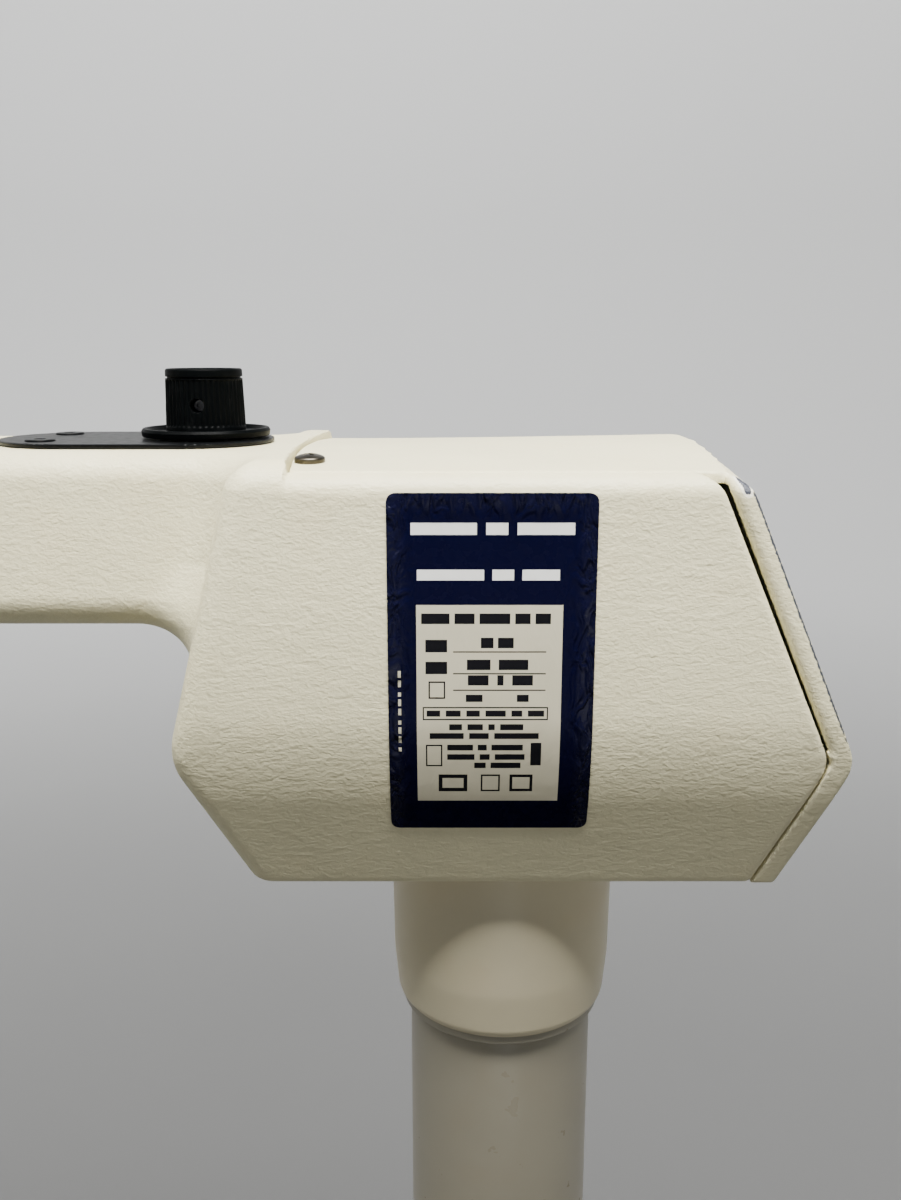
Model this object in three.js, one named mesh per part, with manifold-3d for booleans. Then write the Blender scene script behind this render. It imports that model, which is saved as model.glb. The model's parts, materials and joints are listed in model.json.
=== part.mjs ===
// A post-mounted dental operating light, built as separate pieces that bolt, slide and pivot together.
// Millimetres, +Z up. The origin is the centre of the post's foot. The rigid arm runs towards -X.
// Most heights are given in the swing arm's own frame, whose z = 0 is the edge of the rear cover's top.

import * as THREE from 'three';
import { mergeVertices } from 'three/addons/utils/BufferGeometryUtils.js';
import Module from 'manifold-3d';

const wasm = await Module();
wasm.setup();

// ---- Driving dimensions -------------------------------------------------------------------------

const GAP = 0.3; // between pieces that are fastened or pressed together
const RUN = 0.45; // between pieces that turn in or beside each other

const POST_RADIUS = 25.4;
const POST_WALL = 3;
const POST_LENGTH = 668;
const PLUG_FLANGE = 3.7;
const PLUG_SPIGOT = 18;
const WIRE_WAY = 9; // radius of the wiring hole through each pivot
const THRUST_WASHER = { width: 5, thick: 1.4 };
const STOP_PIN = { radius: 2.5, inset: 5.4, rise: 5.5, sink: 3, clearance: 0.4 };
const SWIVEL_LIMIT = 160; // degrees each way

const HUB_WALL = 2.35;
const HUB_DROP = 49.5; // how far the hub hangs below the housing
const HUB_ROOF = 8;
const HUB_EDGE = 2; // how far the hub's lower edge draws in, less than its wall
const BUSHING_WALL = 1.5;
const BUSHING_LENGTH = 22;
const HUB_FLANGE = { ears: 14, corner: 6, thick: 5 };
const HUB_SCREW = { inset: 7, radius: 2.3, head: 4.4, headHeight: 3 };

const HOUSING_HALF_WIDTH = 50;
const HOUSING_HEIGHT = 102;
const HOUSING_SLOPE = 35.5; // height of the lower part, whose sides and ends slope in
const FLOOR_MARGIN = { side: 7, front: 8.5, rear: 2.6 }; // beside the hub, and past the bracket's feet
const WALL = 4.5;
const FRONT_TOP_X = -62;
const FRONT_CREASE_X = -79;
const SEAM_TOP_X = 42.8; // the casting's rear edge, where the cover starts
const SEAM_CREASE_X = 71.8;
const RIM_FILLET = 5;
const SHOULDER_FILLET = 8;

const COVER_FRONT_X = -50;
const COVER_REAR_TOP_X = 48;
const COVER_REAR_CREASE_X = 77.6;
const COVER_FOOT = 6; // from the seam back to the cover's lowest edge
const COVER_EDGE_Z = -0.5;
const COVER_CROWN_Z = 2.3;
const COVER_THICK = 2.8;
const VENT_GAP = 1.6;
const COVER_SCREW = { x: -46.1, inset: 17, radius: 1.6, head: 3.5, headHeight: 1.9, depth: 8 };
const SCREW_BOSS = { x: 6, y: 7, height: 12 };

const ARM_TOP_Z = 2;
const ARM_HALF_WIDTH = 28;
const ARM_HEIGHT = 42.6;
const ARM_EDGE = 8;
const ARM_THROAT_FILLET = 18;
const ARM_SIDE_FILLET = 13;
const CASTING_END_X = -210;
const TUBE_SOCKET = 60;
const TUBE_WALL = 3;

const PLATE = { left: -128.4, right: -59.4, halfWidth: 20.6, thick: 1 };
const PLATE_SCREW = { x: -115, y: 11, head: 3.7, radius: 1.5, depth: 5 };
const KNOB = { x: -76.4, base: 10, top: 9.5, height: 15.5, recess: 7.8, recessDepth: 1.7 };
const SKIRT = { radius: 16.1, height: 2.1, rim: 1.4, floor: 1 };
const KNOB_SET_SCREW = { radius: 1.4, height: 11.5, hole: 1.75 };
const SWITCH = { body: 14, depth: 22, bushing: 4.7, shaft: 3.1, shaftTop: 16 };
const SWITCH_NUT = { radius: 7, thick: 2 };

const LABEL = { left: -28, right: 17.5, top: -4.5, wrap: 17.5, thick: 0.3 };

const CORE = { x: 4, room: 21.5, halfX: 40, halfZ: 32, leg: 13, windowX: 27, windowZ: 19 };
const COIL_BULGE = 14;
const SHELF = { front: 4, rear: 6, legInset: 11, ledgeRoom: 1.73, thick: 2, foot: 6 };
const SHELF_LIFT = 2; // above the hub's roof
const TERMINAL = { insetX: 4.5, insetY: 6, halfX: 5.5, height: 11.5, ribs: 5 };
const FUSE = { inset: 7, radius: 5.5, halfLength: 20 };

const ARM_REACH = 520; // post axis to elbow axis
const ELBOW_BARREL = 32;
const ELBOW_RISE = 4; // barrel above and below the arm
const ELBOW_SPINDLE = 16;
const ELBOW_BUSHING = 3;
const BUSHING_FLANGE = { radius: 29, thick: 2 };
const YOKE_BASE = { radius: 30, height: 13 };
const PIVOT_RISE = 78; // flex arm's pivot above z = 0
const TONGUE_HALF_WIDTH = 14;
const TONGUE_HALF_DEPTH = 17;
const PIVOT_PIN = 6;
const TIE_OFFSET = 34; // tie rod's pivots below the flex arm's pivots
const TIE_PIN = 4;
const TIE_ROD = { radius: 4, eye: 9, halfWidth: 5 };
const SLOT_CLEARANCE = 0.6;

const FLEX_LENGTH = 520;
const FLEX_REST = 10; // degrees above level
const FLEX_DOWN = -15; // lowest and highest slope of the flex arm, in degrees
const FLEX_UP = 50;
const FLEX_TUBE = { play: 0.5, halfHeight: 12, wall: 2.5, elbowMouth: 24, wristMouth: 42 };
const FLEX_COVER = { top: 16.5, split: -13, wall: 2.5, side: 1.5, corner: 6.5 };
const FLEX_COVER_MARGIN = { elbow: 44, wrist: 52 };
const SPRING = { outer: 8.5, inner: 5.5, length: 220 };

const WRIST_BARREL = 19;
const WRIST_OFFSET = 38; // drop stem's axis beyond the wrist pivot
const WRIST_BARREL_TOP = 14;
const WRIST_BARREL_BOTTOM = -58;
const STEM_RADIUS = 12;
const STEM_DROP = 168; // wrist pivot to tilt pivot
const STEM_FLANGE = { radius: 17, thick: 3 };
const FORK = { halfWidth: 27, ear: 7, depth: 15, crown: 30 };
const TILT_PIN = 6;
const TILT_HUB = 15;
const ROLL_SPINDLE = 9;

const HEAD_TILT = 35; // degrees below level
const HEAD_HALF_WIDTH = 130;
const HEAD_HALF_HEIGHT = 76;
const HEAD_BACK = 34; // along the beam from the tilt pivot
const HEAD_FRONT = 124;
const HEAD_WALL = 3;
const HEAD_CORNER = 40;
const BEZEL = { depth: 7, lip: 8 };
const LENS = { inset: 2, thick: 3 };
const REFLECTOR = { margin: 12, depth: 58, wall: 1.6, throat: 17 };
const LAMP = { radius: 6.5, length: 30, socket: 13, socketLength: 16 };
const GLARE_CAP = { radius: 15, thick: 2, ahead: 6, leg: 1.6 };
const HANDLE = { stem: 6.5, reach: 26, grip: 10, halfLength: 48, rise: 8 };

const ROUND = 32; // facets of a large cylinder
const SMALL = 14; // facets of a small one

// ---- Places worked out from the driving dimensions ----------------------------------------------

const POST_CLEAR = HOUSING_HEIGHT - 10; // post's top below z = 0
const COVER_TOP = POST_LENGTH + POST_CLEAR;
const FLOOR_TOP = -HOUSING_HEIGHT + WALL;
const STOP_ORBIT = POST_RADIUS - STOP_PIN.inset;
const HUB_BORE = POST_RADIUS + RUN + BUSHING_WALL + GAP;
const HUB_RADIUS = HUB_BORE + HUB_WALL;
const HUB_FLANGE_X = HUB_RADIUS + HUB_FLANGE.ears;
const FLOOR_HALF_WIDTH = HUB_RADIUS + FLOOR_MARGIN.side;
const SHELF_LEFT = Math.min(-HUB_FLANGE_X, CORE.x - CORE.halfX - TERMINAL.halfX - 2.5) - SHELF.front;
const SHELF_RIGHT = HUB_FLANGE_X + SHELF.rear;
const FRONT_FLOOR_X = SHELF_LEFT - SHELF.foot - FLOOR_MARGIN.front;
const SEAM_FLOOR_X = SHELF_RIGHT + SHELF.foot + FLOOR_MARGIN.rear;
const COVER_REAR_FLOOR_X = SEAM_FLOOR_X + COVER_FOOT;
const HOUSING_CREASE = HOUSING_HEIGHT - HOUSING_SLOPE; // depth where the slopes start
const LABEL_BOTTOM = -HOUSING_CREASE - LABEL.wrap;
const INNER_HALF_WIDTH = HOUSING_HALF_WIDTH - WALL;
const PLUG_TOP = -POST_CLEAR + GAP + PLUG_FLANGE;
const HUB_ROOF_BOTTOM = PLUG_TOP + THRUST_WASHER.thick + 2 * GAP;
const HUB_ROOF_TOP = HUB_ROOF_BOTTOM + HUB_ROOF;
const HUB_BOTTOM = -HOUSING_HEIGHT - HUB_DROP;
const HUB_FLANGE_TOP = FLOOR_TOP + GAP + HUB_FLANGE.thick;
const COVER_HALF_WIDTH = HOUSING_HALF_WIDTH - WALL - GAP;
const COVER_UNDERSIDE = COVER_EDGE_Z - COVER_THICK;
const ARM_BOTTOM_Z = ARM_TOP_Z - ARM_HEIGHT;
const FLEX_HALF_WIDTH = TONGUE_HALF_WIDTH + FLEX_TUBE.play + FLEX_TUBE.wall;
const ARM_MIDDLE_Z = ARM_TOP_Z - ARM_HEIGHT / 2;
const ARM_ROOF_Z = ARM_TOP_Z - WALL;
const PLATE_TOP = ARM_TOP_Z + GAP + PLATE.thick;
const SKIRT_BOTTOM = PLATE_TOP + RUN;
const KNOB_BOTTOM = SKIRT_BOTTOM + SKIRT.floor + GAP;
const SHELF_TOP = HUB_ROOF_TOP + SHELF_LIFT + SHELF.thick;
const SHELF_HALF_WIDTH = FLOOR_HALF_WIDTH - SHELF.legInset;
const SLOPE_RUN = (HOUSING_HALF_WIDTH - FLOOR_HALF_WIDTH) / HOUSING_SLOPE; // side's lean below the crease
const LEDGE_EDGE = FLOOR_HALF_WIDTH + SLOPE_RUN * (SHELF_TOP - SHELF.thick + HOUSING_HEIGHT)
  - WALL * Math.hypot(1, SLOPE_RUN) - SHELF.ledgeRoom;
const CORE_MIDDLE_Z = SHELF_TOP + GAP + CORE.halfZ;
const ELBOW_TOP = ARM_TOP_Z + ELBOW_RISE;
const ELBOW_BOTTOM = ARM_BOTTOM_Z - ELBOW_RISE;
const YOKE_BOTTOM = ELBOW_TOP + GAP + BUSHING_FLANGE.thick + RUN;
const YOKE_TOP = YOKE_BOTTOM + YOKE_BASE.height;

// ---- Geometry helpers ---------------------------------------------------------------------------

const radians = THREE.MathUtils.degToRad;

// Rounds the corners of a closed outline. A corner is [u, v] or [u, v, radius].
function rounded(corners, steps = 3) {
  const count = corners.length;
  return corners.flatMap(([u, v, radius], index) => {
    const corner = new THREE.Vector2(u, v);
    if (!radius) {
      return [corner];
    }
    const [before, after] = [corners[(index + count - 1) % count], corners[(index + 1) % count]];
    const toBefore = new THREE.Vector2(before[0], before[1]).sub(corner).normalize();
    const toAfter = new THREE.Vector2(after[0], after[1]).sub(corner).normalize();
    const half = Math.acos(toBefore.dot(toAfter)) / 2;
    const middle = toBefore.clone().add(toAfter).normalize();
    const centre = corner.clone().addScaledVector(middle, radius / Math.sin(half));
    const start = corner.clone().addScaledVector(toBefore, radius / Math.tan(half)).sub(centre);
    const end = corner.clone().addScaledVector(toAfter, radius / Math.tan(half)).sub(centre);
    const sweep = Math.atan2(start.cross(end), start.dot(end));
    return Array.from({ length: steps + 1 }, (_, step) => {
      return start.clone().rotateAround(new THREE.Vector2(), (sweep * step) / steps).add(centre);
    });
  });
}

// Moves every edge of a closed outline inwards. The corners come back without radii.
function inset(corners, distance) {
  const area = THREE.ShapeUtils.area(corners.map(([u, v]) => new THREE.Vector2(u, v)));
  const side = Math.sign(area) * distance;
  return corners.map((corner, index) => {
    const count = corners.length;
    const before = corners[(index + count - 1) % count];
    const after = corners[(index + 1) % count];
    const [a, b] = [Math.hypot(corner[0] - before[0], corner[1] - before[1]),
      Math.hypot(after[0] - corner[0], after[1] - corner[1])];
    const inA = [-(corner[1] - before[1]) / a, (corner[0] - before[0]) / a];
    const inB = [-(after[1] - corner[1]) / b, (after[0] - corner[0]) / b];
    const share = side / (1 + inA[0] * inB[0] + inA[1] * inB[1]);
    return [corner[0] + share * (inA[0] + inB[0]), corner[1] + share * (inA[1] + inB[1])];
  });
}

function rectangle(u0, u1, v0, v1, radius = 0) {
  return [[u0, v0, radius], [u1, v0, radius], [u1, v1, radius], [u0, v1, radius]];
}

function circle(u, v, radius, sides = SMALL) {
  return Array.from({ length: sides }, (_, index) => {
    const angle = (2 * Math.PI * (index + 0.5)) / sides;
    return [u + radius * Math.cos(angle), v + radius * Math.sin(angle)];
  });
}

// A closed geometry becomes a manifold solid with its faces pointing out.
function toSolid(geometry) {
  geometry.deleteAttribute('normal');
  geometry.deleteAttribute('uv');
  const merged = mergeVertices(geometry);
  const points = merged.attributes.position.array;
  const index = merged.index.array;
  const corners = [];
  for (let i = 0; i < index.length; i += 3) {
    const [a, b, c] = [index[i], index[i + 1], index[i + 2]];
    if (a !== b && b !== c && c !== a) {
      corners.push([a, b, c]);
    }
  }
  const point = (i) => new THREE.Vector3().fromArray(points, 3 * i);
  const volume = corners.reduce((sum, [a, b, c]) => sum + point(a).dot(point(b).cross(point(c))), 0);
  const facing = volume < 0 ? corners.map(([a, b, c]) => [a, c, b]) : corners;
  const mesh = new wasm.Mesh({
    numProp: 3,
    vertProperties: new Float32Array(points),
    triVerts: new Uint32Array(facing.flat()),
  });
  return new wasm.Manifold(mesh);
}

function extruded(corners, depth) {
  const shape = new THREE.Shape(rounded(corners));
  return new THREE.ExtrudeGeometry(shape, { depth, bevelEnabled: false, curveSegments: 1 });
}

// Prisms along each axis. Their outlines are in the (y, z), (x, z) and (x, y) planes.
function alongX(corners, from, to) {
  const turn = new THREE.Matrix4().set(0, 0, 1, from, 1, 0, 0, 0, 0, 1, 0, 0, 0, 0, 0, 1);
  return toSolid(extruded(corners, to - from).applyMatrix4(turn));
}

function alongY(corners, from, to) {
  return toSolid(extruded(corners, to - from).rotateX(Math.PI / 2).translate(0, to, 0));
}

function alongZ(corners, from, to) {
  return toSolid(extruded(corners, to - from).translate(0, 0, from));
}

function block(x0, x1, y0, y1, z0, z1) {
  return alongZ(rectangle(x0, x1, y0, y1), z0, z1);
}

// A solid of revolution about the Z axis. The profile is a closed outline of [radius, z] corners.
function turned(corners, sides = ROUND) {
  const profile = rounded(corners);
  return toSolid(new THREE.LatheGeometry([...profile, profile[0]], sides).rotateX(Math.PI / 2));
}

function tube(inner, outer, z0, z1, sides = ROUND) {
  return turned(rectangle(inner, outer, z0, z1), sides);
}

// A solid through rings of points, each ring with the same count, capped at both ends.
function lofted(rings) {
  const count = rings[0].length;
  const indices = [];
  for (let level = 0; level + 1 < rings.length; level += 1) {
    for (let i = 0; i < count; i += 1) {
      const [a, b] = [level * count + i, level * count + ((i + 1) % count)];
      indices.push(a, b, b + count, a, b + count, a + count);
    }
  }
  const last = (rings.length - 1) * count;
  for (let i = 1; i + 1 < count; i += 1) {
    indices.push(0, i + 1, i, last, last + i, last + i + 1);
  }
  const geometry = new THREE.BufferGeometry().setFromPoints(rings.flat());
  geometry.setIndex(indices);
  return toSolid(geometry);
}

function union(first, ...others) {
  return others.reduce((sum, solid) => sum.add(solid), first);
}

function cut(solid, ...tools) {
  return tools.reduce((rest, tool) => rest.subtract(tool), solid);
}

function piece(parent, name, solid, material) {
  const { vertProperties, triVerts, numProp } = solid.getMesh();
  const geometry = new THREE.BufferGeometry();
  const positions = new Float32Array((vertProperties.length / numProp) * 3);
  for (let i = 0; i < positions.length / 3; i += 1) {
    positions.set(vertProperties.subarray(i * numProp, i * numProp + 3), i * 3);
  }
  geometry.setAttribute('position', new THREE.BufferAttribute(positions, 3));
  geometry.setIndex(new THREE.BufferAttribute(new Uint32Array(triVerts), 1));
  geometry.computeVertexNormals();
  const mesh = new THREE.Mesh(geometry, material.clone());
  mesh.name = name;
  parent.add(mesh);
}

// ---- Materials ----------------------------------------------------------------------------------

function finish(color, roughness, metalness = 0) {
  return new THREE.MeshStandardMaterial({ color, roughness, metalness, flatShading: true });
}

const texturedPaint = finish(0xd9d4c4, 0.6);
const smoothPaint = finish(0xd3ccba, 0.45);
const postPaint = finish(0xc6c2b5, 0.4);
const blackPlastic = finish(0x141414, 0.45);
const greyPlastic = finish(0x6f6d66, 0.6);
const steel = finish(0xb8b8b4, 0.3, 1);
const darkSteel = finish(0x55565a, 0.4, 1);
const aluminium = finish(0xc4c6c8, 0.35, 1);
const copper = finish(0xa8622f, 0.45, 1);
const laminations = finish(0x3d3f44, 0.55, 0.8);
const labelVinyl = finish(0x1b2150, 0.3);
const ceramic = finish(0xe7e2d6, 0.7);
const mirror = finish(0xdfe6ec, 0.08, 1);
const clearShield = new THREE.MeshStandardMaterial({
  color: 0xe8f0f2,
  roughness: 0.08,
  transparent: true,
  opacity: 0.35,
});

// ---- The post -----------------------------------------------------------------------------------

function buildPost(group) {
  const inner = POST_RADIUS - POST_WALL;
  piece(group, 'post_tube', tube(inner, POST_RADIUS, -COVER_TOP, -POST_CLEAR), postPaint);

  const plug = turned([
    [WIRE_WAY, -POST_CLEAR - PLUG_SPIGOT],
    [inner - GAP, -POST_CLEAR - PLUG_SPIGOT],
    [inner - GAP, -POST_CLEAR + GAP],
    [POST_RADIUS, -POST_CLEAR + GAP],
    [POST_RADIUS, PLUG_TOP],
    [WIRE_WAY, PLUG_TOP],
  ]);
  const pinHole = alongZ(
    circle(STOP_ORBIT, 0, STOP_PIN.radius + GAP),
    PLUG_TOP - STOP_PIN.sink - GAP,
    PLUG_TOP + 1,
  );
  piece(group, 'post_top_plug', cut(plug, pinHole), steel);

  const pin = alongZ(
    circle(STOP_ORBIT, 0, STOP_PIN.radius),
    PLUG_TOP - STOP_PIN.sink,
    PLUG_TOP + STOP_PIN.rise,
  );
  piece(group, 'stop_pin', pin, darkSteel);

  const washerBottom = PLUG_TOP + GAP;
  const washerOuter = STOP_ORBIT - STOP_PIN.radius - STOP_PIN.clearance - 2.1;
  piece(
    group,
    'thrust_washer',
    tube(washerOuter - THRUST_WASHER.width, washerOuter, washerBottom, washerBottom + THRUST_WASHER.thick),
    greyPlastic,
  );
}

// ---- The swivel hub that carries the housing on the post ----------------------------------------

// The groove that the stop pin runs in. It leaves a lug opposite the pin's rest place.
function stopGroove() {
  const slack = STOP_PIN.radius + STOP_PIN.clearance;
  const reach = radians(SWIVEL_LIMIT) + slack / STOP_ORBIT;
  const steps = 18;
  const arc = (radius) => Array.from({ length: steps + 1 }, (_, step) => {
    const angle = reach * ((2 * step) / steps - 1);
    return [radius * Math.cos(angle), radius * Math.sin(angle)];
  });
  const outline = [...arc(STOP_ORBIT + slack), ...arc(STOP_ORBIT - slack).reverse()];
  const depth = PLUG_TOP + STOP_PIN.rise + STOP_PIN.clearance;
  return alongZ(outline, HUB_ROOF_BOTTOM - 1, depth);
}

function hubScrewPlaces() {
  const [x, y] = [HUB_FLANGE_X - HUB_SCREW.inset, HUB_RADIUS - HUB_SCREW.inset];
  return [[-x, -y], [x, -y], [x, y], [-x, y]];
}

function buildHub(group) {
  const edgeHeight = 3 * HUB_EDGE;
  const edge = Array.from({ length: 4 }, (_, step) => {
    const angle = (Math.PI / 2) * (step / 3);
    return [
      HUB_RADIUS - HUB_EDGE * (1 - Math.sin(angle)),
      HUB_BOTTOM + edgeHeight * (1 - Math.cos(angle)),
    ];
  });
  const shell = turned([
    [HUB_BORE, HUB_BOTTOM],
    ...edge,
    [HUB_RADIUS, HUB_ROOF_TOP],
    [WIRE_WAY, HUB_ROOF_TOP],
    [WIRE_WAY, HUB_ROOF_BOTTOM],
    [HUB_BORE, HUB_ROOF_BOTTOM],
  ]);
  const flange = alongZ(
    rectangle(-HUB_FLANGE_X, HUB_FLANGE_X, -HUB_RADIUS, HUB_RADIUS, HUB_FLANGE.corner),
    FLOOR_TOP + GAP,
    HUB_FLANGE_TOP,
  );
  const bore = alongZ(circle(0, 0, HUB_BORE + 1, ROUND), FLOOR_TOP, HUB_FLANGE_TOP + 1);
  const screwHoles = hubScrewPlaces().map(([x, y]) => {
    return alongZ(circle(x, y, HUB_SCREW.radius + GAP), FLOOR_TOP, HUB_FLANGE_TOP + 1);
  });
  const hub = cut(union(shell, cut(flange, bore)), stopGroove(), ...screwHoles);
  piece(group, 'swivel_hub', hub, smoothPaint);

  const innerRadius = POST_RADIUS + RUN;
  const outerRadius = innerRadius + BUSHING_WALL;
  const upperTop = -POST_CLEAR - GAP;
  piece(
    group,
    'hub_bushing_upper',
    tube(innerRadius, outerRadius, upperTop - BUSHING_LENGTH, upperTop),
    greyPlastic,
  );
  const lipTop = HUB_BOTTOM - GAP;
  const lower = turned([
    [innerRadius, lipTop - 1],
    [outerRadius + 0.4, lipTop - 1],
    [outerRadius + 0.4, lipTop],
    [outerRadius, lipTop],
    [outerRadius, lipTop + BUSHING_LENGTH],
    [innerRadius, lipTop + BUSHING_LENGTH],
  ]);
  piece(group, 'hub_bushing_lower', lower, greyPlastic);

  hubScrewPlaces().forEach(([x, y], index) => {
    const head = alongZ(circle(x, y, HUB_SCREW.head), HUB_FLANGE_TOP + GAP,
      HUB_FLANGE_TOP + GAP + HUB_SCREW.headHeight);
    const shank = alongZ(circle(x, y, HUB_SCREW.radius), FLOOR_TOP - WALL / 2, HUB_FLANGE_TOP + 1);
    piece(group, `hub_screw_${index + 1}`, union(head, shank), steel);
  });
}

// ---- The casting: power supply housing and the root of the rigid arm ----------------------------

function housingSide(rearPush = 0) {
  return [
    [FRONT_TOP_X, ARM_TOP_Z],
    [FRONT_CREASE_X, -HOUSING_CREASE],
    [FRONT_FLOOR_X, -HOUSING_HEIGHT],
    [SEAM_FLOOR_X + rearPush, -HOUSING_HEIGHT],
    [SEAM_CREASE_X + rearPush, -HOUSING_CREASE],
    [SEAM_TOP_X + rearPush, ARM_TOP_Z],
  ];
}

function housingEnd(top, fillet = 0) {
  return [
    [-FLOOR_HALF_WIDTH, -HOUSING_HEIGHT],
    [FLOOR_HALF_WIDTH, -HOUSING_HEIGHT],
    [HOUSING_HALF_WIDTH, -HOUSING_CREASE],
    [HOUSING_HALF_WIDTH, top, fillet],
    [-HOUSING_HALF_WIDTH, top, fillet],
    [-HOUSING_HALF_WIDTH, -HOUSING_CREASE],
  ];
}

function armSection() {
  const h = ARM_HALF_WIDTH;
  return rectangle(-h, h, ARM_BOTTOM_Z, ARM_TOP_Z, ARM_EDGE);
}

// The inside of the hollow arm, which the straight tube slides into at both ends.
function armBoreSection(play = 0) {
  const h = ARM_HALF_WIDTH - WALL - play;
  return rectangle(-h, h, ARM_BOTTOM_Z + WALL + play, ARM_ROOF_Z - play, ARM_EDGE - WALL / 2);
}

function armRoot() {
  const arm = alongX(armSection(), CASTING_END_X, FRONT_TOP_X + 10);
  const wallX = FRONT_TOP_X + ((FRONT_CREASE_X - FRONT_TOP_X) * ARM_HEIGHT) / (HOUSING_CREASE + ARM_TOP_Z);
  const throat = alongY(
    [
      [FRONT_TOP_X, ARM_MIDDLE_Z],
      [wallX - 3 * ARM_THROAT_FILLET, ARM_MIDDLE_Z],
      [wallX - 3 * ARM_THROAT_FILLET, ARM_BOTTOM_Z],
      [wallX, ARM_BOTTOM_Z, ARM_THROAT_FILLET],
      [FRONT_CREASE_X, -HOUSING_CREASE],
      [FRONT_TOP_X, -HOUSING_CREASE],
    ],
    -ARM_HALF_WIDTH + ARM_EDGE,
    ARM_HALF_WIDTH - ARM_EDGE,
  );
  const sides = [-1, 1].map((side) => {
    return alongZ(
      [
        [FRONT_TOP_X + 5, 0],
        [FRONT_TOP_X - 3 * ARM_SIDE_FILLET, 0],
        [FRONT_TOP_X - 3 * ARM_SIDE_FILLET, side * (ARM_HALF_WIDTH - 1)],
        [FRONT_TOP_X - 1, side * (ARM_HALF_WIDTH - 1), ARM_SIDE_FILLET],
        [FRONT_TOP_X - 1, side * (HOUSING_HALF_WIDTH - SHOULDER_FILLET)],
        [FRONT_TOP_X + 5, side * (HOUSING_HALF_WIDTH - SHOULDER_FILLET)],
      ],
      ARM_BOTTOM_Z + ARM_EDGE,
      ARM_TOP_Z - 1,
    );
  });
  return union(arm, throat, ...sides);
}

function coverScrewPlaces() {
  const y = HOUSING_HALF_WIDTH - COVER_SCREW.inset;
  return [['front', -y]];
}

function plateScrewPlaces() {
  return [['front', -PLATE_SCREW.y], ['back', PLATE_SCREW.y]];
}

function buildHousing(group) {
  const front = alongX(housingEnd(ARM_TOP_Z, SHOULDER_FILLET), FRONT_CREASE_X - 1, COVER_FRONT_X);
  const rear = alongX(housingEnd(COVER_EDGE_Z, RIM_FILLET), COVER_FRONT_X, SEAM_CREASE_X + 1);
  const outside = alongY(housingSide(), -HOUSING_HALF_WIDTH, HOUSING_HALF_WIDTH);
  const box = union(front, rear).intersect(outside);

  const inside = alongY(inset(housingSide(60), WALL), -INNER_HALF_WIDTH, INNER_HALF_WIDTH)
    .intersect(alongX(inset(housingEnd(ARM_TOP_Z), WALL), FRONT_CREASE_X, SEAM_CREASE_X + 60));
  const opening = (left, bottom) => {
    return block(left, 2 * SEAM_CREASE_X, -INNER_HALF_WIDTH, INNER_HALF_WIDTH, bottom, 9);
  };
  const topOpening = opening(COVER_FRONT_X, 2 * ARM_ROOF_Z);
  const rearSlot = alongY(inset(housingSide(60), WALL), -INNER_HALF_WIDTH, INNER_HALF_WIDTH)
    .intersect(opening(SEAM_TOP_X - 30, -HOUSING_CREASE));
  const armBore = alongX(armBoreSection(), CASTING_END_X - 1, FRONT_TOP_X + 12);

  const bosses = coverScrewPlaces().map(([, y]) => {
    const outer = Math.sign(y) * (INNER_HALF_WIDTH + 1);
    const inner = y - Math.sign(y) * SCREW_BOSS.y;
    return block(
      COVER_FRONT_X - 1,
      COVER_SCREW.x + SCREW_BOSS.x,
      Math.min(outer, inner),
      Math.max(outer, inner),
      COVER_UNDERSIDE - GAP - SCREW_BOSS.height,
      COVER_UNDERSIDE - GAP,
    );
  });
  const screwHoles = coverScrewPlaces().map(([, y]) => {
    const bottom = COVER_UNDERSIDE - COVER_SCREW.depth - GAP;
    return alongZ(circle(COVER_SCREW.x, y, COVER_SCREW.radius + GAP), bottom, ARM_TOP_Z + 2);
  });
  const plateHoles = plateScrewPlaces().map(([, y]) => {
    const radius = PLATE_SCREW.radius + 2 * GAP;
    return alongZ(circle(PLATE_SCREW.x, y, radius), ARM_ROOF_Z - 1, ARM_TOP_Z + 1);
  });
  const switchHole = alongZ(
    circle(KNOB.x, 0, SWITCH.bushing + GAP, SMALL),
    ARM_ROOF_Z - 1,
    ARM_TOP_Z + 1,
  );
  const hubHole = alongZ(circle(0, 0, HUB_RADIUS + GAP, ROUND), -HOUSING_HEIGHT - 1, FLOOR_TOP + 1);
  const hubScrewHoles = hubScrewPlaces().map(([x, y]) => {
    return alongZ(circle(x, y, HUB_SCREW.radius + GAP), FLOOR_TOP - WALL / 2 - GAP, FLOOR_TOP + 1);
  });

  const shell = cut(union(box, armRoot()), inside, topOpening, rearSlot, armBore);
  const casting = cut(
    union(shell, ...bosses),
    ...screwHoles,
    ...plateHoles,
    switchHole,
    hubHole,
    ...hubScrewHoles,
  );
  piece(group, 'arm_housing', casting, texturedPaint);
}

// ---- The rear cover: crowned top panel and the shell over the sloping rear ----------------------

function crownedEnd() {
  const sag = COVER_CROWN_Z - COVER_EDGE_Z;
  const steps = 8;
  const crown = Array.from({ length: steps + 1 }, (_, step) => {
    const across = (2 * step) / steps - 1;
    return [-across * COVER_HALF_WIDTH, COVER_EDGE_Z + sag * (1 - across * across)];
  });
  return [
    [-FLOOR_HALF_WIDTH, -HOUSING_HEIGHT],
    [FLOOR_HALF_WIDTH, -HOUSING_HEIGHT],
    [HOUSING_HALF_WIDTH, -HOUSING_CREASE],
    [HOUSING_HALF_WIDTH, COVER_EDGE_Z - RIM_FILLET],
    ...crown,
    [-HOUSING_HALF_WIDTH, COVER_EDGE_Z - RIM_FILLET],
    [-HOUSING_HALF_WIDTH, -HOUSING_CREASE],
  ];
}

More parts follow.
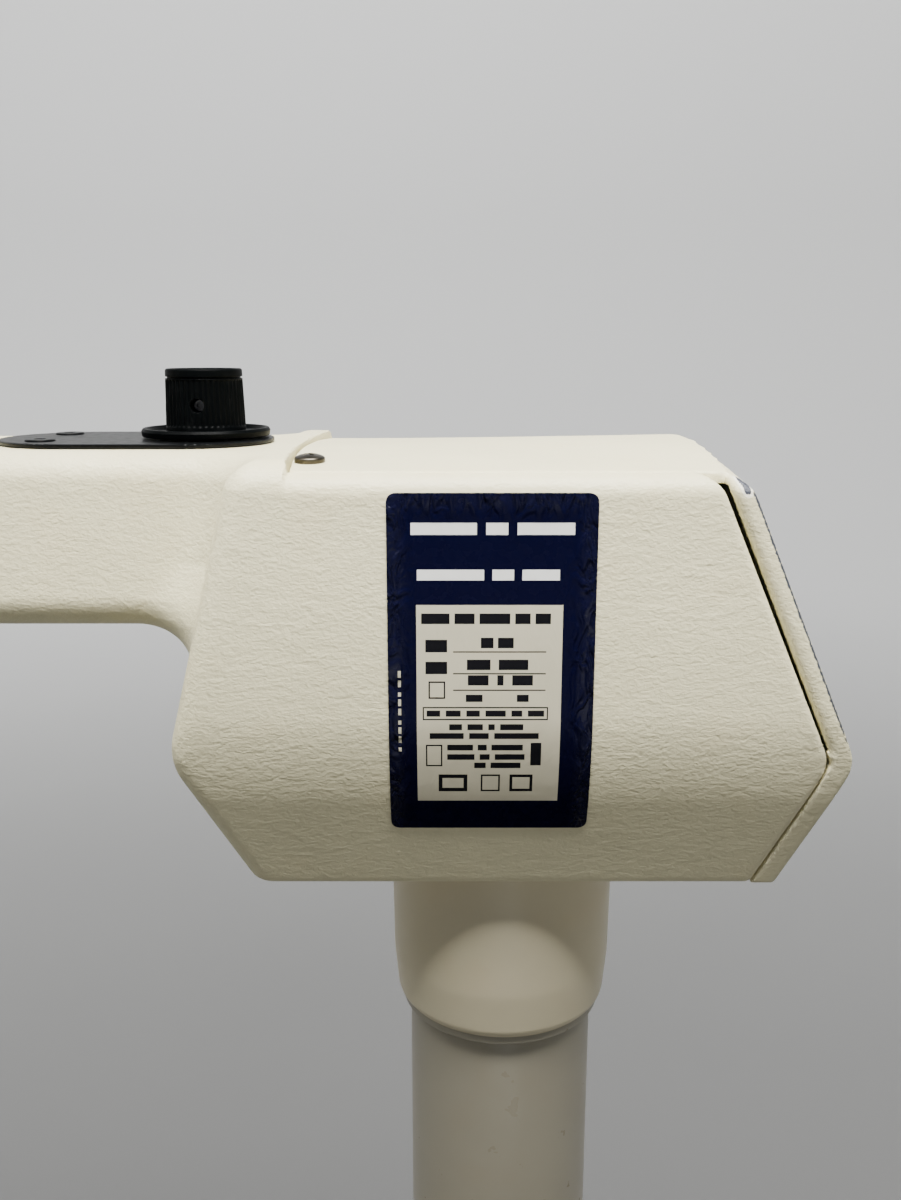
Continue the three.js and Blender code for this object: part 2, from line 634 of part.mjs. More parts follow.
function buildCover(group) {
  const outerRear = [
    [COVER_REAR_FLOOR_X, -HOUSING_HEIGHT, 1.5],
    [COVER_REAR_CREASE_X, -HOUSING_CREASE, 3],
    [COVER_REAR_TOP_X, COVER_CROWN_Z, 5],
  ];
  const band = alongY(
    [
      [SEAM_FLOOR_X + GAP, -HOUSING_HEIGHT],
      ...outerRear,
      [SEAM_TOP_X - 4, COVER_CROWN_Z],
      [SEAM_TOP_X - 4, COVER_UNDERSIDE],
      [SEAM_TOP_X + VENT_GAP + 1, COVER_UNDERSIDE],
      [SEAM_CREASE_X + VENT_GAP / 2, -HOUSING_CREASE],
    ],
    -HOUSING_HALF_WIDTH,
    HOUSING_HALF_WIDTH,
  ).intersect(alongX(crownedEnd(), 0, COVER_REAR_CREASE_X + 1));

  const sideRelief = [-1, 1].map((side) => {
    const [near, far] = [side * COVER_HALF_WIDTH, side * (HOUSING_HALF_WIDTH + 1)];
    return alongY(
      [
        [SEAM_TOP_X - 5, COVER_CROWN_Z + 1],
        [SEAM_TOP_X - 5, COVER_UNDERSIDE - 1],
        [SEAM_TOP_X + VENT_GAP + 1.6, COVER_UNDERSIDE - 1],
        [SEAM_TOP_X + VENT_GAP - 1, COVER_CROWN_Z + 1],
      ],
      Math.min(near, far),
      Math.max(near, far),
    );
  });
  const panel = alongY(
    rectangle(COVER_FRONT_X + GAP, SEAM_TOP_X + 1, COVER_UNDERSIDE, COVER_CROWN_Z + 1),
    -COVER_HALF_WIDTH,
    COVER_HALF_WIDTH,
  ).intersect(alongX(crownedEnd(), COVER_FRONT_X, COVER_REAR_CREASE_X));

  const flangeHalf = HOUSING_HALF_WIDTH - COVER_THICK;
  const rearOutline = [
    [0, -HOUSING_HEIGHT],
    ...outerRear.map(([x, z]) => [x, z]),
    [0, COVER_CROWN_Z],
  ];
  const hollow = alongY(inset(rearOutline, COVER_THICK), -flangeHalf, flangeHalf)
    .intersect(alongX(inset(housingEnd(COVER_UNDERSIDE + COVER_THICK), COVER_THICK), 0, 90));

  const screwHoles = coverScrewPlaces().map(([, y]) => {
    const radius = COVER_SCREW.radius + GAP;
    return alongZ(circle(COVER_SCREW.x, y, radius), COVER_UNDERSIDE - 1, COVER_CROWN_Z + 1);
  });
  const cover = cut(union(cut(band, ...sideRelief), panel), hollow, ...screwHoles);
  piece(group, 'rear_cover', cover, texturedPaint);

  coverScrewPlaces().forEach(([place, y]) => {
    const { x, head, headHeight, radius, depth } = COVER_SCREW;
    const seat = COVER_CROWN_Z + GAP - (COVER_CROWN_Z - COVER_EDGE_Z) * (y / COVER_HALF_WIDTH) ** 2 + 0.4;
    const screw = turned(
      [
        [0, COVER_UNDERSIDE - depth],
        [radius, COVER_UNDERSIDE - depth],
        [radius, seat],
        [head, seat],
        [head - 0.3, seat + headHeight / 2],
        [head / 2, seat + headHeight],
        [0, seat + headHeight],
      ],
      SMALL,
    );
    const slots = [[head * 0.6, 0.5], [0.5, head * 0.6]].map(([u, v]) => {
      return block(-u, u, -v, v, seat + headHeight - 1, seat + headHeight + 1);
    });
    piece(group, `cover_screw_${place}`, cut(screw, ...slots).translate([x, y, 0]), steel);
  });
}

// ---- Controls on the arm ------------------------------------------------------------------------

function buildControls(group, knob) {
  const { left, right, halfWidth, thick } = PLATE;
  const stadium = rectangle(left, right, -halfWidth, halfWidth, halfWidth - 0.01);
  const shape = alongZ(stadium, PLATE_TOP - thick, PLATE_TOP);
  const switchHole = alongZ(circle(KNOB.x, 0, SWITCH.bushing + GAP), ARM_TOP_Z, PLATE_TOP + 1);
  const screwHoles = plateScrewPlaces().map(([, y]) => {
    const radius = PLATE_SCREW.head + GAP;
    return alongZ(circle(PLATE_SCREW.x, y, radius), ARM_TOP_Z, PLATE_TOP + 1);
  });
  piece(group, 'control_plate', cut(shape, switchHole, ...screwHoles), blackPlastic);

  plateScrewPlaces().forEach(([place, y]) => {
    const { x, head, radius, depth } = PLATE_SCREW;
    const screw = turned(
      [
        [0, PLATE_TOP - depth],
        [radius, PLATE_TOP - depth],
        [radius, ARM_TOP_Z + GAP],
        [head, ARM_TOP_Z + GAP],
        [head, PLATE_TOP],
        [0, PLATE_TOP],
      ],
      SMALL,
    );
    piece(group, `plate_screw_${place}`, screw.translate([x, y, 0]), blackPlastic);
  });

  const bodyTop = ARM_ROOF_Z - GAP;
  const nutBottom = PLATE_TOP + GAP;
  const nutTop = nutBottom + SWITCH_NUT.thick;
  const boreRadius = SWITCH.shaft + RUN;
  const switchBody = turned(
    [
      [boreRadius, bodyTop - SWITCH.depth + 2],
      [0, bodyTop - SWITCH.depth + 2],
      [0, bodyTop - SWITCH.depth],
      [SWITCH.body, bodyTop - SWITCH.depth],
      [SWITCH.body, bodyTop],
      [SWITCH.bushing, bodyTop],
      [SWITCH.bushing, nutTop + 0.5],
      [boreRadius, nutTop + 0.5],
    ],
    20,
  );
  piece(group, 'intensity_switch', switchBody.translate([KNOB.x, 0, 0]), greyPlastic);

  const nut = cut(
    alongZ(circle(0, 0, SWITCH_NUT.radius, 6), nutBottom, nutTop),
    alongZ(circle(0, 0, SWITCH.bushing + GAP), nutBottom - 1, nutTop + 1),
  );
  piece(group, 'switch_nut', nut.translate([KNOB.x, 0, 0]), steel);

  buildKnob(knob, bodyTop - SWITCH.depth + 2 + RUN);
}

function buildKnob(knob, shaftBottom) {
  const rimTop = SKIRT_BOTTOM + SKIRT.height;
  const floorTop = SKIRT_BOTTOM + SKIRT.floor;
  const skirt = turned([
    [KNOB.recess, SKIRT_BOTTOM],
    [SKIRT.radius, SKIRT_BOTTOM],
    [SKIRT.radius, rimTop - 0.4],
    [SKIRT.radius - 0.5, rimTop],
    [SKIRT.radius - SKIRT.rim, rimTop],
    [SKIRT.radius - SKIRT.rim - 0.8, floorTop],
    [KNOB.recess, floorTop],
  ]);
  piece(knob, 'knob_skirt', skirt, blackPlastic);

  const top = KNOB_BOTTOM + KNOB.height;
  const body = turned(
    [
      [0, KNOB_BOTTOM],
      [KNOB.base, KNOB_BOTTOM],
      [KNOB.top, top - 0.5],
      [KNOB.top - 0.5, top],
      [0, top],
    ],
    24,
  );
  const recess = alongZ(circle(0, 0, KNOB.recess), KNOB_BOTTOM - 1, KNOB_BOTTOM + KNOB.recessDepth);
  const bore = alongZ(circle(0, 0, SWITCH.shaft + GAP), KNOB_BOTTOM - 1, SWITCH.shaftTop + GAP);
  const screwHole = alongY(circle(0, KNOB_SET_SCREW.height, KNOB_SET_SCREW.hole), -KNOB.base - 1, 0);
  piece(knob, 'intensity_knob', cut(body, recess, bore, screwHole), blackPlastic);

  const setScrew = alongY(
    circle(0, KNOB_SET_SCREW.height, KNOB_SET_SCREW.radius, 12),
    -KNOB.top + 1.5,
    -SWITCH.shaft - GAP,
  );
  piece(knob, 'knob_set_screw', setScrew, darkSteel);
  piece(knob, 'switch_shaft', alongZ(circle(0, 0, SWITCH.shaft), shaftBottom, SWITCH.shaftTop), steel);
}

// The rating label is a thin skin over the side face that wraps onto the lower slope.
function buildLabel(group) {
  const lowY = HOUSING_HALF_WIDTH - SLOPE_RUN * LABEL.wrap;
  const skin = (stand) => [
    [-HOUSING_HALF_WIDTH - stand, LABEL.top],
    [-HOUSING_HALF_WIDTH - stand, -HOUSING_CREASE],
    [-lowY - stand, LABEL_BOTTOM],
  ];
  const outline = [...skin(GAP), ...skin(GAP + LABEL.thick).reverse()];
  piece(group, 'rating_label', alongX(outline, LABEL.left, LABEL.right), labelVinyl);
}

// ---- The power supply inside the housing --------------------------------------------------------

function buildPowerSupply(group) {
  const { thick, foot } = SHELF;
  const [left, right] = [SHELF_LEFT, SHELF_RIGHT];
  const legSide = [
    [left - foot, FLOOR_TOP + GAP],
    [left, FLOOR_TOP + GAP],
    [left, SHELF_TOP - thick],
    [right, SHELF_TOP - thick],
    [right, FLOOR_TOP + GAP],
    [right + foot, FLOOR_TOP + GAP],
    [right + foot, FLOOR_TOP + GAP + thick],
    [right + thick, FLOOR_TOP + GAP + thick],
    [right + thick, SHELF_TOP],
    [left - thick, SHELF_TOP],
    [left - thick, FLOOR_TOP + GAP + thick],
    [left - foot, FLOOR_TOP + GAP + thick],
  ];
  const legs = alongY(legSide, -SHELF_HALF_WIDTH, SHELF_HALF_WIDTH);
  const ledge = block(-FUSE.halfLength - 10, FUSE.halfLength + 10, SHELF_HALF_WIDTH - 1, LEDGE_EDGE,
    SHELF_TOP - thick, SHELF_TOP);
  piece(group, 'transformer_bracket', union(legs, ledge), aluminium);

  const { x, halfX, halfZ, leg, windowX, windowZ } = CORE;
  const halfY = INNER_HALF_WIDTH - CORE.room;
  const stack = alongY(rectangle(-halfX, halfX, -halfZ, halfZ), -halfY, halfY);
  const windows = [-1, 1].map((side) => {
    const [near, far] = [side * leg, side * windowX];
    return alongY(
      rectangle(Math.min(near, far), Math.max(near, far), -windowZ, windowZ),
      -halfY - 1,
      halfY + 1,
    );
  });
  const place = [x, 0, CORE_MIDDLE_Z];
  piece(group, 'transformer_core', cut(stack, ...windows).translate(place), laminations);

  const [coilX, coilY, coilZ] = [windowX - GAP, halfY + COIL_BULGE, windowZ - GAP];
  const coil = cut(
    alongZ(rectangle(-coilX, coilX, -coilY, coilY, 8), -coilZ, coilZ),
    alongZ(rectangle(-leg - GAP, leg + GAP, -halfY - GAP, halfY + GAP), -coilZ - 1, coilZ + 1),
  );
  piece(group, 'transformer_coil', coil.translate(place), copper);

  const base = SHELF_TOP + GAP;
  const { halfX: blockX, height, ribs } = TERMINAL;
  const blockY = SHELF_HALF_WIDTH - TERMINAL.insetY;
  const body = block(-blockX, blockX, -blockY, blockY, base, base + height);
  const pitch = (2 * blockY) / ribs;
  const bays = Array.from({ length: ribs }, (_, index) => {
    const y = -blockY + pitch * (index + 0.5);
    const [bayBottom, bayTop] = [base + height / 2, base + height + 1];
    return block(-blockX - 1, blockX + 1, y - pitch / 3, y + pitch / 3, bayBottom, bayTop);
  });
  const terminal = cut(body, ...bays).translate([SHELF_LEFT + TERMINAL.insetX, 0, 0]);
  piece(group, 'terminal_block', terminal, blackPlastic);

  const fuse = alongX(
    circle(LEDGE_EDGE - FUSE.inset, base + FUSE.radius, FUSE.radius),
    -FUSE.halfLength,
    FUSE.halfLength,
  );
  piece(group, 'fuse_holder', fuse, blackPlastic);
}

// ---- The straight arm and the elbow -------------------------------------------------------------

function buildRigidArm(group) {
  const socketEnd = -ARM_REACH + ELBOW_BARREL + TUBE_SOCKET / 2;
  const tubeLeft = socketEnd - TUBE_SOCKET / 2 + GAP;
  const tubeRight = CASTING_END_X + TUBE_SOCKET;
  const outer = alongX(armBoreSection(GAP), tubeLeft, tubeRight);
  const inner = alongX(armBoreSection(GAP + TUBE_WALL), tubeLeft - 1, tubeRight + 1);
  piece(group, 'rigid_arm_tube', cut(outer, inner), aluminium);

  const bore = ELBOW_SPINDLE + RUN + ELBOW_BUSHING + GAP;
  const sleeve = alongX(armSection(), -ARM_REACH, socketEnd);
  const barrel = alongZ(circle(-ARM_REACH, 0, ELBOW_BARREL, ROUND), ELBOW_BOTTOM, ELBOW_TOP);
  const sleeveBore = alongX(armBoreSection(), socketEnd - TUBE_SOCKET / 2, socketEnd + 1);
  const barrelBore = alongZ(circle(-ARM_REACH, 0, bore, ROUND), ELBOW_BOTTOM - 1, ELBOW_TOP + 1);
  const wiring = alongX(
    circle(0, ARM_MIDDLE_Z, WIRE_WAY),
    -ARM_REACH + bore - 2,
    socketEnd - TUBE_SOCKET / 2 + 1,
  );
  const socket = cut(union(sleeve, barrel), sleeveBore, barrelBore, wiring);
  piece(group, 'elbow_socket', socket, texturedPaint);

  const inside = ELBOW_SPINDLE + RUN;
  const bushing = turned([
    [inside, ELBOW_BOTTOM],
    [inside + ELBOW_BUSHING, ELBOW_BOTTOM],
    [inside + ELBOW_BUSHING, ELBOW_TOP + GAP],
    [BUSHING_FLANGE.radius, ELBOW_TOP + GAP],
    [BUSHING_FLANGE.radius, ELBOW_TOP + GAP + BUSHING_FLANGE.thick],
    [inside, ELBOW_TOP + GAP + BUSHING_FLANGE.thick],
  ]);
  piece(group, 'elbow_bushing', bushing.translate([-ARM_REACH, 0, 0]), greyPlastic);
}

// The wedge that a tie rod sweeps inside a tongue. The rod leaves towards -X, or +X when side is 1.
function tieSlot(side) {
  const reach = 60;
  const half = TIE_ROD.radius + 1.5;
  const eye = TIE_ROD.eye + 1.5;
  const [highest, lowest] = side < 0 ? [FLEX_UP, FLEX_DOWN] : [-FLEX_DOWN, -FLEX_UP];
  const edge = (angle, offset) => {
    const [c, s] = [Math.cos(radians(angle)), Math.sin(radians(angle))];
    return [[side * -offset * s, offset * c], [side * (reach * c - offset * s), reach * s + offset * c]];
  };
  const [topNear, topFar] = edge(highest, half);
  const [lowNear, lowFar] = edge(lowest, -half);
  const wedge = alongY([topNear, topFar, lowFar, lowNear], -1, 1);
  const round = alongY(circle(0, 0, eye, 24), -1, 1);
  const width = TIE_ROD.halfWidth + SLOT_CLEARANCE;
  return union(wedge, round).scale([1, width, 1]);
}

// A tongue that carries the flex arm's pivot at its top and the tie rod's pivot below it.
// Its outline is in the (x, z) plane, with the flex arm's pivot at the origin.
function tongue(bottom, side) {
  const plate = alongY(
    [
      [-TONGUE_HALF_DEPTH, bottom],
      [TONGUE_HALF_DEPTH, bottom],
      [TONGUE_HALF_DEPTH, 0],
      [-TONGUE_HALF_DEPTH, 0],
    ],
    -TONGUE_HALF_WIDTH,
    TONGUE_HALF_WIDTH,
  );
  const eye = alongY(circle(0, 0, TONGUE_HALF_DEPTH, 24), -TONGUE_HALF_WIDTH, TONGUE_HALF_WIDTH);
  const pivotHole = alongY(circle(0, 0, PIVOT_PIN + GAP), -60, 60);
  const tieHole = alongY(circle(0, -TIE_OFFSET, TIE_PIN + GAP), -60, 60);
  const slot = tieSlot(side).translate([0, 0, -TIE_OFFSET]);
  return cut(union(plate, eye), pivotHole, tieHole, slot);
}

function pin(radius, halfLength, z) {
  return alongY(circle(0, z, radius), -halfLength, halfLength);
}

function buildElbow(group) {
  const spindleTop = YOKE_TOP - GAP - 1;
  const spindleBottom = ELBOW_BOTTOM - 1;
  piece(group, 'elbow_spindle', tube(WIRE_WAY, ELBOW_SPINDLE, spindleBottom, spindleTop), steel);

  const base = alongZ(circle(0, 0, YOKE_BASE.radius, ROUND), YOKE_BOTTOM, YOKE_TOP);
  const upright = tongue(YOKE_TOP - 1 - PIVOT_RISE, -1).translate([0, 0, PIVOT_RISE]);
  const spindleHole = alongZ(circle(0, 0, ELBOW_SPINDLE + GAP, ROUND), YOKE_BOTTOM - 1, spindleTop + GAP);
  const wiring = alongZ(circle(0, 0, TIE_ROD.halfWidth), YOKE_BOTTOM, PIVOT_RISE - TIE_OFFSET);
  piece(group, 'elbow_block', cut(union(base, upright), spindleHole, wiring), smoothPaint);

  piece(group, 'elbow_pivot_pin', pin(PIVOT_PIN, FLEX_HALF_WIDTH, PIVOT_RISE), steel);
  piece(group, 'elbow_tie_pin', pin(TIE_PIN, TONGUE_HALF_WIDTH, PIVOT_RISE - TIE_OFFSET), steel);
}

// ---- The balanced flex arm ----------------------------------------------------------------------

// Everything here lies along -X from the elbow pivot, and the whole group is tilted.
function buildFlexArm(group) {
  const halfWidth = FLEX_HALF_WIDTH;
  const { halfHeight, wall, elbowMouth, wristMouth } = FLEX_TUBE;
  const inner = halfWidth - wall;
  const outside = alongX(
    rectangle(-halfWidth, halfWidth, -halfHeight, halfHeight),
    -FLEX_LENGTH,
    0,
  );
  const ears = [-FLEX_LENGTH, 0].map((x) => {
    return alongY(circle(x, 0, halfHeight, 24), -halfWidth, halfWidth);
  });
  const bore = alongX(
    rectangle(-inner, inner, -halfHeight + wall, halfHeight - wall),
    -FLEX_LENGTH - 2 * halfHeight,
    2 * halfHeight,
  );
  const earBore = TONGUE_HALF_WIDTH + RUN;
  const mouths = [
    block(-elbowMouth, 3 * halfHeight, -earBore, earBore, -2 * halfHeight, 2 * halfHeight),
    block(-FLEX_LENGTH - 3 * halfHeight, -FLEX_LENGTH + wristMouth, -earBore, earBore,
      -2 * halfHeight, 2 * halfHeight),
  ];
  const pinHoles = [-FLEX_LENGTH, 0].map((x) => {
    return alongY(circle(x, 0, PIVOT_PIN + RUN), -2 * halfWidth, 2 * halfWidth);
  });
  const beam = cut(union(outside, ...ears), bore, ...mouths, ...pinHoles);
  piece(group, 'flex_arm_tube', beam, aluminium);

  const { top, split, wall: wallThick, side, corner } = FLEX_COVER;
  const bottom = -TIE_OFFSET - TIE_ROD.eye;
  const coverHalf = halfWidth + side + wallThick;
  const innerHalf = coverHalf - wallThick;
  // Half of the clamshell between heights v0 and v1, open below when open is -1 and above when it is 1.
  const shell = (v0, v1, open) => {
    const isOpen = (index) => (open > 0 ? index > 1 : index < 2);
    const outer = rectangle(-coverHalf, coverHalf, v0, v1).map(([u, v], index) => {
      return [u, v, isOpen(index) ? 0 : corner];
    });
    const hollow = rectangle(-innerHalf, innerHalf, v0, v1).map(([u, v], index) => {
      return isOpen(index) ? [u, v + open, 0] : [u, v + open * wallThick, corner - wallThick];
    });
    return cut(
      alongX(outer, -FLEX_LENGTH + FLEX_COVER_MARGIN.wrist, -FLEX_COVER_MARGIN.elbow),
      alongX(hollow, -FLEX_LENGTH, 0),
    );
  };
  piece(group, 'flex_cover_upper', shell(split + GAP, top, -1), texturedPaint);
  piece(group, 'flex_cover_lower', shell(bottom, split, 1), texturedPaint);

  const springEnd = -(FLEX_LENGTH - SPRING.length) / 2;
  const spring = alongX(circle(0, 0, SPRING.outer), springEnd - SPRING.length, springEnd);
  const springBore = alongX(circle(0, 0, SPRING.inner), -FLEX_LENGTH, 0);
  piece(group, 'balance_spring', cut(spring, springBore), darkSteel);
}

function buildTieRod(group) {
  const rod = alongX(circle(0, 0, TIE_ROD.radius, 12), -FLEX_LENGTH + 4, -4);
  const eyes = [-FLEX_LENGTH, 0].map((x) => {
    return alongY(circle(x, 0, TIE_ROD.eye), -TIE_ROD.halfWidth, TIE_ROD.halfWidth);
  });
  const holes = [-FLEX_LENGTH, 0].map((x) => {
    return alongY(circle(x, 0, TIE_PIN + RUN), -TIE_ROD.halfWidth - 1, TIE_ROD.halfWidth + 1);
  });
  piece(group, 'tie_rod', cut(union(rod, ...eyes), ...holes), steel);
}

// ---- The wrist, the drop stem and the tilt joint ------------------------------------------------

function buildWrist(group) {
  const barrel = alongZ(
    circle(-WRIST_OFFSET, 0, WRIST_BARREL, ROUND),
    WRIST_BARREL_BOTTOM,
    WRIST_BARREL_TOP,
  );
  const web = block(
    -WRIST_OFFSET,
    -TONGUE_HALF_DEPTH + 1,
    -TONGUE_HALF_WIDTH,
    TONGUE_HALF_WIDTH,
    WRIST_BARREL_BOTTOM,
    0,
  );
  const stemHole = alongZ(
    circle(-WRIST_OFFSET, 0, STEM_RADIUS + RUN, ROUND),
    WRIST_BARREL_BOTTOM - 1,
    WRIST_BARREL_TOP + 1,
  );
  const body = cut(union(tongue(WRIST_BARREL_BOTTOM, 1), barrel, web), stemHole);
  piece(group, 'wrist_block', body, smoothPaint);
  piece(group, 'wrist_pivot_pin', pin(PIVOT_PIN, FLEX_HALF_WIDTH, 0), steel);
  piece(group, 'wrist_tie_pin', pin(TIE_PIN, TONGUE_HALF_WIDTH, -TIE_OFFSET), steel);
}

// The stem hangs in the wrist barrel on its flange. The tilt pivot is at z = 0 of this group.
function buildDropStem(group) {
  const capBottom = STEM_DROP + WRIST_BARREL_TOP + RUN;
  const stemBottom = FORK.crown + GAP;
  const stem = turned(
    [
      [STEM_RADIUS - 3, stemBottom],
      [STEM_RADIUS, stemBottom],
      [STEM_RADIUS, capBottom],
      [STEM_FLANGE.radius, capBottom],
      [STEM_FLANGE.radius, capBottom + STEM_FLANGE.thick],
      [STEM_RADIUS - 3, capBottom + STEM_FLANGE.thick],
    ],
    24,
  );
  piece(group, 'drop_stem', stem, smoothPaint);

  const { halfWidth, ear, depth, crown } = FORK;
  const collarTop = crown + 24;
  const arch = alongY(
    [
      [-halfWidth, 0],
      [halfWidth, 0],
      [halfWidth, crown, 6],
      [-halfWidth, crown, 6],
    ],
    -depth,
    depth,
  );
  const ears = alongX(circle(0, 0, depth, 24), -halfWidth, halfWidth);
  const throat = alongY(
    rectangle(-halfWidth + ear, halfWidth - ear, -2 * depth, crown - 10),
    -2 * depth,
    2 * depth,
  );
  const collar = tube(STEM_RADIUS + GAP, STEM_RADIUS + 4, crown - 3, collarTop, 24);
  const wiring = alongZ(circle(0, 0, STEM_RADIUS - 3), 0, collarTop);
  const stemSeat = alongZ(circle(0, 0, STEM_RADIUS + GAP, 24), crown, collarTop + 1);
  const pinHole = alongX(circle(0, 0, TILT_PIN + GAP), -2 * halfWidth, 2 * halfWidth);
  const fork = cut(union(arch, ears, collar), throat, wiring, stemSeat, pinHole);
  piece(group, 'tilt_fork', fork, smoothPaint);
  piece(group, 'tilt_pin', alongX(circle(0, 0, TILT_PIN), -halfWidth - 1, halfWidth + 1), steel);
}

// ---- The lamp head. Its beam leaves along -Y of this group. -------------------------------------

function buildTiltHub(group) {
  const half = FORK.halfWidth - FORK.ear - RUN;
  const body = alongX(circle(0, 0, TILT_HUB - 1, 24), -half, half);
  const spindle = alongY(circle(0, 0, ROLL_SPINDLE, 24), -HEAD_BACK - 11, -4);
  const shoulder = alongY(circle(0, 0, ROLL_SPINDLE + 7, 24), -HEAD_BACK + 8, -8);
  const pinHole = alongX(circle(0, 0, TILT_PIN + RUN), -half - 1, half + 1);
  const wiring = alongY(circle(0, 0, ROLL_SPINDLE - 4, 16), -HEAD_BACK - 30, -TILT_PIN);
  piece(group, 'tilt_hub', cut(union(body, shoulder, spindle), pinHole, wiring), smoothPaint);
}

// A ring of points round a rounded rectangle, at one distance along the beam.
function headRing(halfWidth, halfHeight, corner, distance) {
  const steps = 4;
  const outline = rounded(rectangle(-halfWidth, halfWidth, -halfHeight, halfHeight, corner), steps);
  return outline.map((point) => new THREE.Vector3(point.x, -distance, point.y));
}

function headBody(shrink, back, front) {
  const [w, h] = [HEAD_HALF_WIDTH - shrink, HEAD_HALF_HEIGHT - shrink];
  return lofted([
    headRing(w * 0.42, h * 0.42, h * 0.3, back),
    headRing(w * 0.74, h * 0.72, h * 0.42, back + 10),
    headRing(w * 0.95, h * 0.94, HEAD_CORNER - shrink, back + 34),
    headRing(w, h, HEAD_CORNER - shrink, back + 56),
    headRing(w, h, HEAD_CORNER - shrink, front),
  ]);
}

// The mirror is a bowl whose section grows as the square root of its depth.
function reflectorBody(grow, apex, rim) {
  const levels = 4;
  const full = [HEAD_HALF_WIDTH - REFLECTOR.margin, HEAD_HALF_HEIGHT - REFLECTOR.margin];
  const throat = REFLECTOR.throat;
  const rings = Array.from({ length: levels + 1 }, (_, level) => {
    const share = level / levels;
    const spread = Math.sqrt(share);
    const [w, h] = full.map((size) => throat + (size - throat) * spread + grow);
    const corner = Math.min(h - 0.5, throat - 1 + (HEAD_CORNER - throat) * spread + grow);
    return headRing(w, h, corner, apex + (rim - apex) * share);
  });
  return lofted(rings);
}

function buildHead(group) {
  const spindleHole = alongY(circle(0, 0, ROLL_SPINDLE + RUN, 24), -HEAD_BACK - 20, 0);
  const boss = alongY(circle(0, 0, ROLL_SPINDLE + 9, 24), -HEAD_BACK - 8, -HEAD_BACK + 6);
  const stemHoles = [-1, 1].map((side) => {
    const [near, far] = [side * (HEAD_HALF_WIDTH - 8), side * (HEAD_HALF_WIDTH + 2)];
    return alongX(circle(-handleY(), HANDLE.rise, HANDLE.stem - 2 + GAP), Math.min(near, far),
      Math.max(near, far));
  });
  const shell = cut(
    headBody(0, HEAD_BACK, HEAD_FRONT),
    headBody(HEAD_WALL, HEAD_BACK + HEAD_WALL, HEAD_FRONT + 1),
  );
  piece(group, 'head_shell', cut(union(shell, boss), spindleHole, ...stemHoles), smoothPaint);

  const frameOuter = rectangle(-HEAD_HALF_WIDTH, HEAD_HALF_WIDTH, -HEAD_HALF_HEIGHT, HEAD_HALF_HEIGHT,
    HEAD_CORNER);
  const [lipX, lipZ] = [HEAD_HALF_WIDTH - BEZEL.lip, HEAD_HALF_HEIGHT - BEZEL.lip];
  const frameInner = rectangle(-lipX, lipX, -lipZ, lipZ, HEAD_CORNER - BEZEL.lip);
  const bezelBack = -HEAD_FRONT - GAP;
  const bezel = cut(
    alongY(frameOuter, bezelBack - BEZEL.depth, bezelBack),
    alongY(frameInner, bezelBack - BEZEL.depth - 1, bezelBack + 1),
  );
  piece(group, 'front_bezel', bezel, greyPlastic);

  const rim = HEAD_WALL + LENS.inset;
  const [lensX, lensZ] = [HEAD_HALF_WIDTH - rim, HEAD_HALF_HEIGHT - rim];
  const lens = alongY(
    rectangle(-lensX, lensX, -lensZ, lensZ, HEAD_CORNER - rim),
    -HEAD_FRONT,
    -HEAD_FRONT + LENS.thick,
  );
  piece(group, 'lens_shield', lens, clearShield);

  const mirrorRim = HEAD_FRONT - LENS.thick - 2;
  const mirrorApex = mirrorRim - REFLECTOR.depth;
  const bowl = cut(
    reflectorBody(0, mirrorApex - 1, mirrorRim),
    reflectorBody(-REFLECTOR.wall, mirrorApex, mirrorRim + 0.5),
  );
  const throatHole = alongY(circle(0, 0, LAMP.socket + 1, 24), -mirrorApex - 8, -mirrorApex + 8);
  piece(group, 'reflector', cut(bowl, throatHole), mirror);

  const socketFront = mirrorApex + 2;
  const capBack = socketFront + LAMP.length + GLARE_CAP.ahead;
  const socket = alongY(circle(0, 0, LAMP.socket, 24), -socketFront, -socketFront + LAMP.socketLength);
  const lampHole = alongY(circle(0, 0, LAMP.radius - 2 + GAP, 16), -socketFront - 1, -socketFront + 6);
  const legX = LAMP.socket - 3;
  const legHoles = [-legX, legX].map((x) => {
    return alongY(circle(x, 0, GLARE_CAP.leg + GAP, 12), -socketFront - 1, -socketFront + 6);
  });
  piece(group, 'lamp_socket', cut(socket, lampHole, ...legHoles), ceramic);

  const capsule = turned(
    [
      [0, -5],
      [LAMP.radius - 2, -5],
      [LAMP.radius - 2, GAP],
      [LAMP.radius, 4],
      [LAMP.radius, LAMP.length - 5, 3],
      [0, LAMP.length],
    ],
    20,
  ).rotate([90, 0, 0]);
  piece(group, 'halogen_lamp', capsule.translate([0, -socketFront, 0]), clearShield);

  const cap = alongY(circle(0, 0, GLARE_CAP.radius, 24), -capBack - GLARE_CAP.thick, -capBack);
  const legs = [-legX, legX].map((x) => {
    return alongY(circle(x, 0, GLARE_CAP.leg, 12), -capBack - 0.5, -socketFront + 5);
  });
  piece(group, 'glare_cap', union(cap, ...legs), aluminium);

  [['left', -1], ['right', 1]].forEach(([name, side]) => {
    piece(group, `${name}_handle`, handle(side), blackPlastic);
  });
}

function handleY() {
  return (HEAD_BACK + HEAD_FRONT) / 2 + 16;
}

